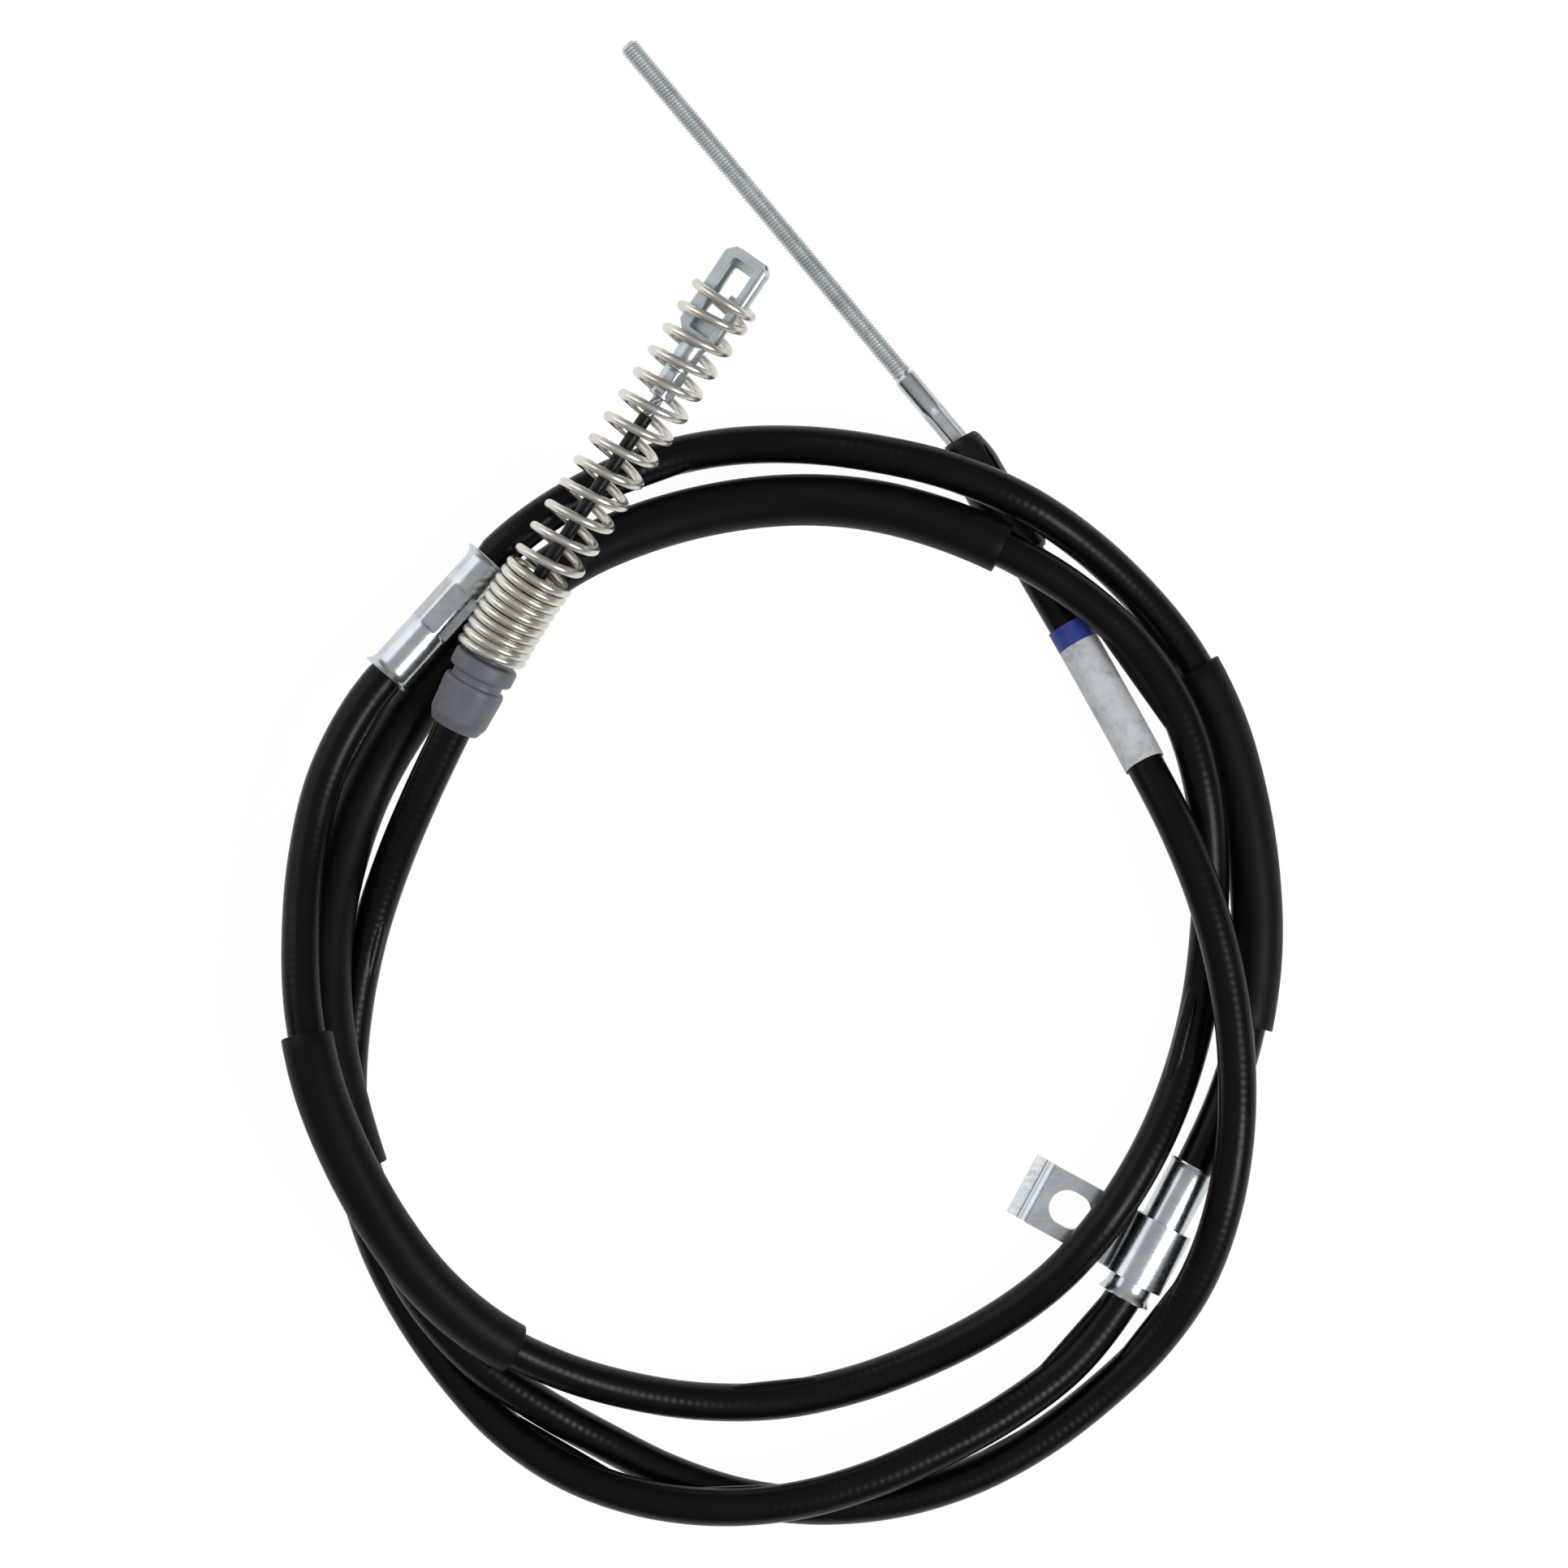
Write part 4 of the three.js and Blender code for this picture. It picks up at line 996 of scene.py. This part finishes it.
# %% Threaded stud
socket = np.linspace(SOCKET_FROM + 0.5 * MM, ROD_FROM - 0.9 * MM, 50)
rod = np.arange(ROD_FROM + 0.55 * MM, STUD_LENGTH - 0.9 * MM, 0.125 * MM)
stud_profile = [(SOCKET_FROM + 6 * MM, 1.85 * MM), (SOCKET_FROM, 1.9 * MM)]
stud_profile += [(SOCKET_FROM, 2.9 * MM)] + [(s, 3.3 * MM) for s in socket]
stud_profile += [(ROD_FROM - 0.4 * MM, 3.0 * MM), (ROD_FROM, 2.55 * MM)]
stud_profile += [(ROD_FROM + 0.4 * MM, 2.55 * MM)] + [(s, ROD) for s in rod]
stud_profile += [(STUD_LENGTH - 0.4 * MM, 2.4 * MM), (STUD_LENGTH, 1.85 * MM)]
stud = skin("stud_threaded", stud_line, stud_profile, 40, stud_shape, 50)
dress(stud, ZINC, "stud_end", "threaded_stud")
stud.data.materials.append(ZINC_PRESSED)
stud.data.materials.append(THREAD)
mark_pressed(stud, stud_line, SOCKET_FROM, SOCKET_FROM + 18.0 * MM, 0.30)
for poly in stud.data.polygons:
    if (np.array(poly.center) - stud_line.o) @ stud_line.d > ROD_FROM + 0.6 * MM:
        poly.material_index = 2

# %% [markdown]
# ## Rope
# Six strands laid round a core. Bare rope shows between the coating and the eye's barrel, and
# sits in the mouth of the socket. The core inside the conduit is the same rope, and since it
# isn't seen it keeps its plain solid.

# %% Strands of the rope
ROPE, STRAND = 1.6 * MM, 0.54 * MM


def strands(line, lo, hi, lay):
    """A core and six strands round it, one turn in the length of lay."""
    s = np.linspace(lo, hi, max(12, int((hi - lo) / (0.35 * MM))))
    paths = [[line.at(v)[0] for v in s]]
    for k in range(6):
        points = []
        for v in s:
            p, n, b = line.at(v)
            a = 2 * math.pi * (v / lay + k / 6)
            points.append(p + (math.cos(a) * n + math.sin(a) * b) * 2 * (ROPE / 3))
        paths.append(points)
    return paths


# %% Rope ends and coating
COATED_LENGTH = 73.7 * MM
rope_line = Line(np.array(EYE_POINT) * MM, spring_top)
stud_strands = strands(stud_line, SOCKET_FROM - 19 * MM, SOCKET_FROM + 4.8 * MM, 22 * MM)
stud_rope = wires("stud_rope", stud_strands, STRAND, 14, ROPE_WIRE)
dress(stud_rope, ROPE_WIRE, "stud_end", "stud_cable")
eye_strands = strands(rope_line, -25.6 * MM, -11.7 * MM, 18 * MM)
eye_rope = wires("eye_rope", eye_strands, STRAND, 14, ROPE_WIRE)
dress(eye_rope, ROPE_WIRE, "eye_end", "eye_cable")
coat_top = -25.9 * MM
coat_low = coat_top - COATED_LENGTH
coat_points = [
    (coat_low, 1.2 * MM), (coat_low, 2.0 * MM), (coat_top, 2.0 * MM), (coat_top, 1.2 * MM),
]
coat = skin("rope_coat", rope_line, rounded(coat_points, 0.25 * MM), 32)
dress(coat, COATING, "eye_end", "eye_cable_coating")
core_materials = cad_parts["core_cable"].data.materials
core_materials.clear()
core_materials.append(ROPE_WIRE)

# %% [markdown]
# ## Spring seat
# Grey moulding: a barrel on the conduit, a groove, a collar that the spring stands on, and a
# neck inside the coil. All of it is turned, so one profile with small rounds makes it.

# %% Spring seat
seat_points = [
    (-15.2, 6.15), (-15.2, 7.3), (-12.0, 8.7), (-2.4, 9.2), (-1.2, 8.9), (-0.9, 7.7),
    (1.4, 7.7), (1.7, 9.2), (2.4, 9.6), (6.0, 9.6), (6.7, 9.1), (6.9, 6.2),
    (14.4, 6.2), (15.0, 5.8), (15.0, 5.4), (-2.7, 5.4), (-2.8, 6.15),
]
seat_profile = ring_profile(mm(seat_points), 0.35 * MM)
seat = skin("spring_seat_moulding", seat_line, seat_profile, 64)
dress(seat, SEAT_NYLON, "casing", "spring_seat")

# %% [markdown]
# ## Return spring
# Close turns on the seat, then open ones, right-handed, with the last turn closed in. The pitch
# changes along the wire, so its points are worked out turn by turn on the bent axis.

# %% Return spring
CLOSE, OPEN, END = 9.8, 12.35, 0.75
CLOSE_PITCH, OPEN_PITCH, END_PITCH = 2.84, 7.55, 1.4
SPRING_START, SPRING_PHASE = 8.45, 0.36
SPRING_OUTSIDE, WIRE = 20.9, 2.75


def spring_point(turn):
    advance = min(turn, CLOSE) * CLOSE_PITCH
    advance += min(max(turn - CLOSE, 0), OPEN) * OPEN_PITCH
    advance += max(turn - CLOSE - OPEN, 0) * END_PITCH
    s = (SPRING_START + advance) * MM
    p = spring_axis.at(s)[0]
    t = unit(spring_axis.at(s + 0.5 * MM)[0] - spring_axis.at(s - 0.5 * MM)[0])
    side = unit(np.cross((0, 0, 1.0), t))
    rise = np.cross(t, side)
    a = 2 * math.pi * (turn - CLOSE - SPRING_PHASE)
    return p + (side * math.cos(a) + rise * math.sin(a)) * (SPRING_OUTSIDE - WIRE) / 2 * MM


total_turns = CLOSE + OPEN + END
coil = [spring_point(t) for t in np.linspace(0, total_turns, int(total_turns * 48))]
spring = wires("return_spring_wire", [coil], WIRE / 2 * MM, 24, SPRING_WIRE)
dress(spring, SPRING_WIRE, "casing", "return_spring")
print("spring turns:", round(total_turns, 2))

# %% [markdown]
# ## Eye
# A strip folded over along its right edge, with a window in each face and the fold open in its
# lower half. It is rolled 15 degrees, so the folded edge shows. Below it the strip becomes a
# barrel that is crimped on the rope: its radius passes from the flat foot to round.

# %% Folded eye
EYE_LENGTH, EYE_WIDTH, EYE_DEPTH, EYE_SHEET = 28.2, 14.2, 5.2, 1.4
EYE_ROLL = math.radians(15)
rolled_up = rope_line.up * math.cos(EYE_ROLL) - rope_line.side * math.sin(EYE_ROLL)
eye_line = Line(rope_line.o, rope_line.d, rolled_up)
edge, face = EYE_WIDTH / 2, EYE_DEPTH / 2 - EYE_SHEET / 2
turned = edge - EYE_SHEET / 2
fold = rounded(mm([(-edge, face), (turned, face), (turned, -face), (-edge, -face)]), 1.1 * MM, 6)
eye_size = EYE_SHEET * MM, EYE_LENGTH * MM
eye = strip("eye_folded", fold, *eye_size, eye_line, EYE_LENGTH / 2 * MM)

# %% Windows, corners and open side of the eye
CORNER = 2.4
windows = ((3.7, 1.9, 25.4, 0.0, 6.0), (3.2, 6.2, 22.9, -6.0, 0.0))
for half_width, low_end, top_end, low, high in windows:
    window = loop_outline(rectangle(-half_width, low_end, half_width, top_end), 1.1 * MM)
    combine(eye, prism("window", window, low * MM, high * MM, eye_line), "DIFFERENCE")
for sx, y0, y1 in ((-1, EYE_LENGTH, 1), (-1, 0.0, -1), (1, EYE_LENGTH, 1)):
    clipped = [
        (sx * (edge + 1), y0 - y1 * (CORNER + 1)),
        (sx * (edge + 1), y0 + y1),
        (sx * (edge - CORNER - 1), y0 + y1),
    ]
    combine(eye, prism("corner", mm(clipped), -6 * MM, 6 * MM, eye_line), "DIFFERENCE")
open_side = rectangle(edge - 1.7, -1, edge + 1, 14.2)
combine(eye, prism("open_side", open_side, -6 * MM, 6 * MM, eye_line), "DIFFERENCE")
softened(eye, 0.18 * MM, 40)
dress(eye, ZINC_BLUE, "eye_end", "cable_eye")


# %% Barrel of the eye
def barrel_shape(s, angles, r):
    if r < 2.5 * MM:
        return np.full(len(angles), r)
    if s > -2.0 * MM:
        t = min((s + 2.0 * MM) / (3.4 * MM), 1.0)
        flat = np.minimum(
            5.2 * MM / np.maximum(np.abs(np.sin(angles)), 1e-3),
            1.9 * MM / np.maximum(np.abs(np.cos(angles)), 1e-3),
        )
        return r + (np.minimum(flat, 5.2 * MM) - r) * t
    return hexed(s, angles, r, -18.9 * MM, -10.6 * MM, 6.7 * MM, 0.8 * MM)


barrel_profile = mm([(-10.7, 1.9), (-19.6, 1.95), (-19.6, 3.3)])
barrel_profile += [(s, 3.7 * MM) for s in np.linspace(-19.1 * MM, -10.5 * MM, 30)]
barrel_profile += mm([(-10.1, 3.1), (-8.9, 3.1)])
barrel_profile += [(s, 3.7 * MM) for s in np.linspace(-8.4 * MM, 1.3 * MM, 24)]
barrel = skin("eye_barrel", eye_line, barrel_profile, 64, barrel_shape)
dress(barrel, ZINC_BLUE, "eye_end", "cable_eye")

# %% [markdown]
# ## The cord's facts
# The sheathed cable leaves the spring seat and ends in the end cap's fitting. It lies in a
# loose coil, and the photograph shows all of it.

# %% [markdown]
# ## Floor
# The photograph's ground is plain white with only a faint shadow. A white floor under a lamp
# would go grey, so camera, glossy and transmission rays see it mostly as a glow, and only the
# rest of them meet its matt surface.

# %% Floor
FLOOR_HALF, GLOW_SHARE = 3, 0.94
square = [(-1, -1), (1, -1), (1, 1), (-1, 1)]
floor_mesh = bpy.data.meshes.new("floor")
floor_points = [(x * FLOOR_HALF, y * FLOOR_HALF, 0) for x, y in square]
floor_mesh.from_pydata(floor_points, [], [(0, 1, 2, 3)])
floor = add_object("floor", floor_mesh)
floor.location.z = -0.4 * MM
floor_white, tree, bsdf, _ = new_finish("floor_white")
fill(tree, bsdf, {"Base Color": srgb("#f4f4f4"), "Roughness": 0.8})
ray = add(tree, "ShaderNodeLightPath", {}).outputs
glow = add(tree, "ShaderNodeEmission", {"Color": (1, 1, 1, 1), "Strength": 1.03}).outputs[0]
seen = ray["Is Camera Ray"]
for kind in ("Is Glossy Ray", "Is Transmission Ray"):
    larger = {"operation": "MAXIMUM", 0: seen, 1: ray[kind]}
    seen = add(tree, "ShaderNodeMath", larger).outputs[0]
share = {"operation": "MULTIPLY", 0: seen, 1: GLOW_SHARE}
share = add(tree, "ShaderNodeMath", share).outputs[0]
mixer = add(tree, "ShaderNodeMixShader", {0: share, 1: bsdf.outputs[0], 2: glow})
fill(tree, tree.nodes["Material Output"], {"Surface": mixer.outputs[0]})
floor_mesh.materials.append(floor_white)
print("floor:", 2 * FLOOR_HALF, "m wide")

# %% [markdown]
# ## Surround and lamps
# The metal mirrors whatever is round it, so the surround is graded from dark at the side to
# pale above, which gives the tubes their contrast. A small lamp on the right makes the long
# highlights, and a broad, weak one on the left fills the shadows.

# %% Surround
SKY_LEVELS = [(0.0, 0.28), (0.3, 0.16), (0.62, 0.4), (1.0, 0.5)]
world = bpy.data.worlds.new("surround")
scene.world = world
world.use_nodes = True
sky = world.node_tree
direction = add(sky, "ShaderNodeTexCoord", {}).outputs["Generated"]
height = add(sky, "ShaderNodeSeparateXYZ", {0: direction}).outputs[2]
bluish = [(place, (v * 0.97, v * 0.985, v, 1.0)) for place, v in SKY_LEVELS]
shade = add(sky, "ShaderNodeValToRGB", {"Fac": height, "stops": bluish})
fill(sky, sky.nodes["Background"], {"Color": shade.outputs["Color"]})
print("surround levels:", [level for _, level in SKY_LEVELS])


# %% Lamps
def lamp(name, place, size, power):
    """A square area lamp that looks at the middle of the coil."""
    data = bpy.data.lights.new(name, "AREA")
    data.shape = "RECTANGLE"
    data.size = data.size_y = size
    data.energy = power
    obj = add_object(name, data)
    obj.location = place
    towards = Vector((0, 0, 0)) - Vector(place)
    obj.rotation_euler = towards.to_track_quat("-Z", "Y").to_euler()
    print(name, power, "W")


lamp("key_right", (0.83, -0.48, 1.15), 0.55, 11.0)
lamp("fill_left", (-1.3, 0.9, 0.75), 1.6, 9.0)
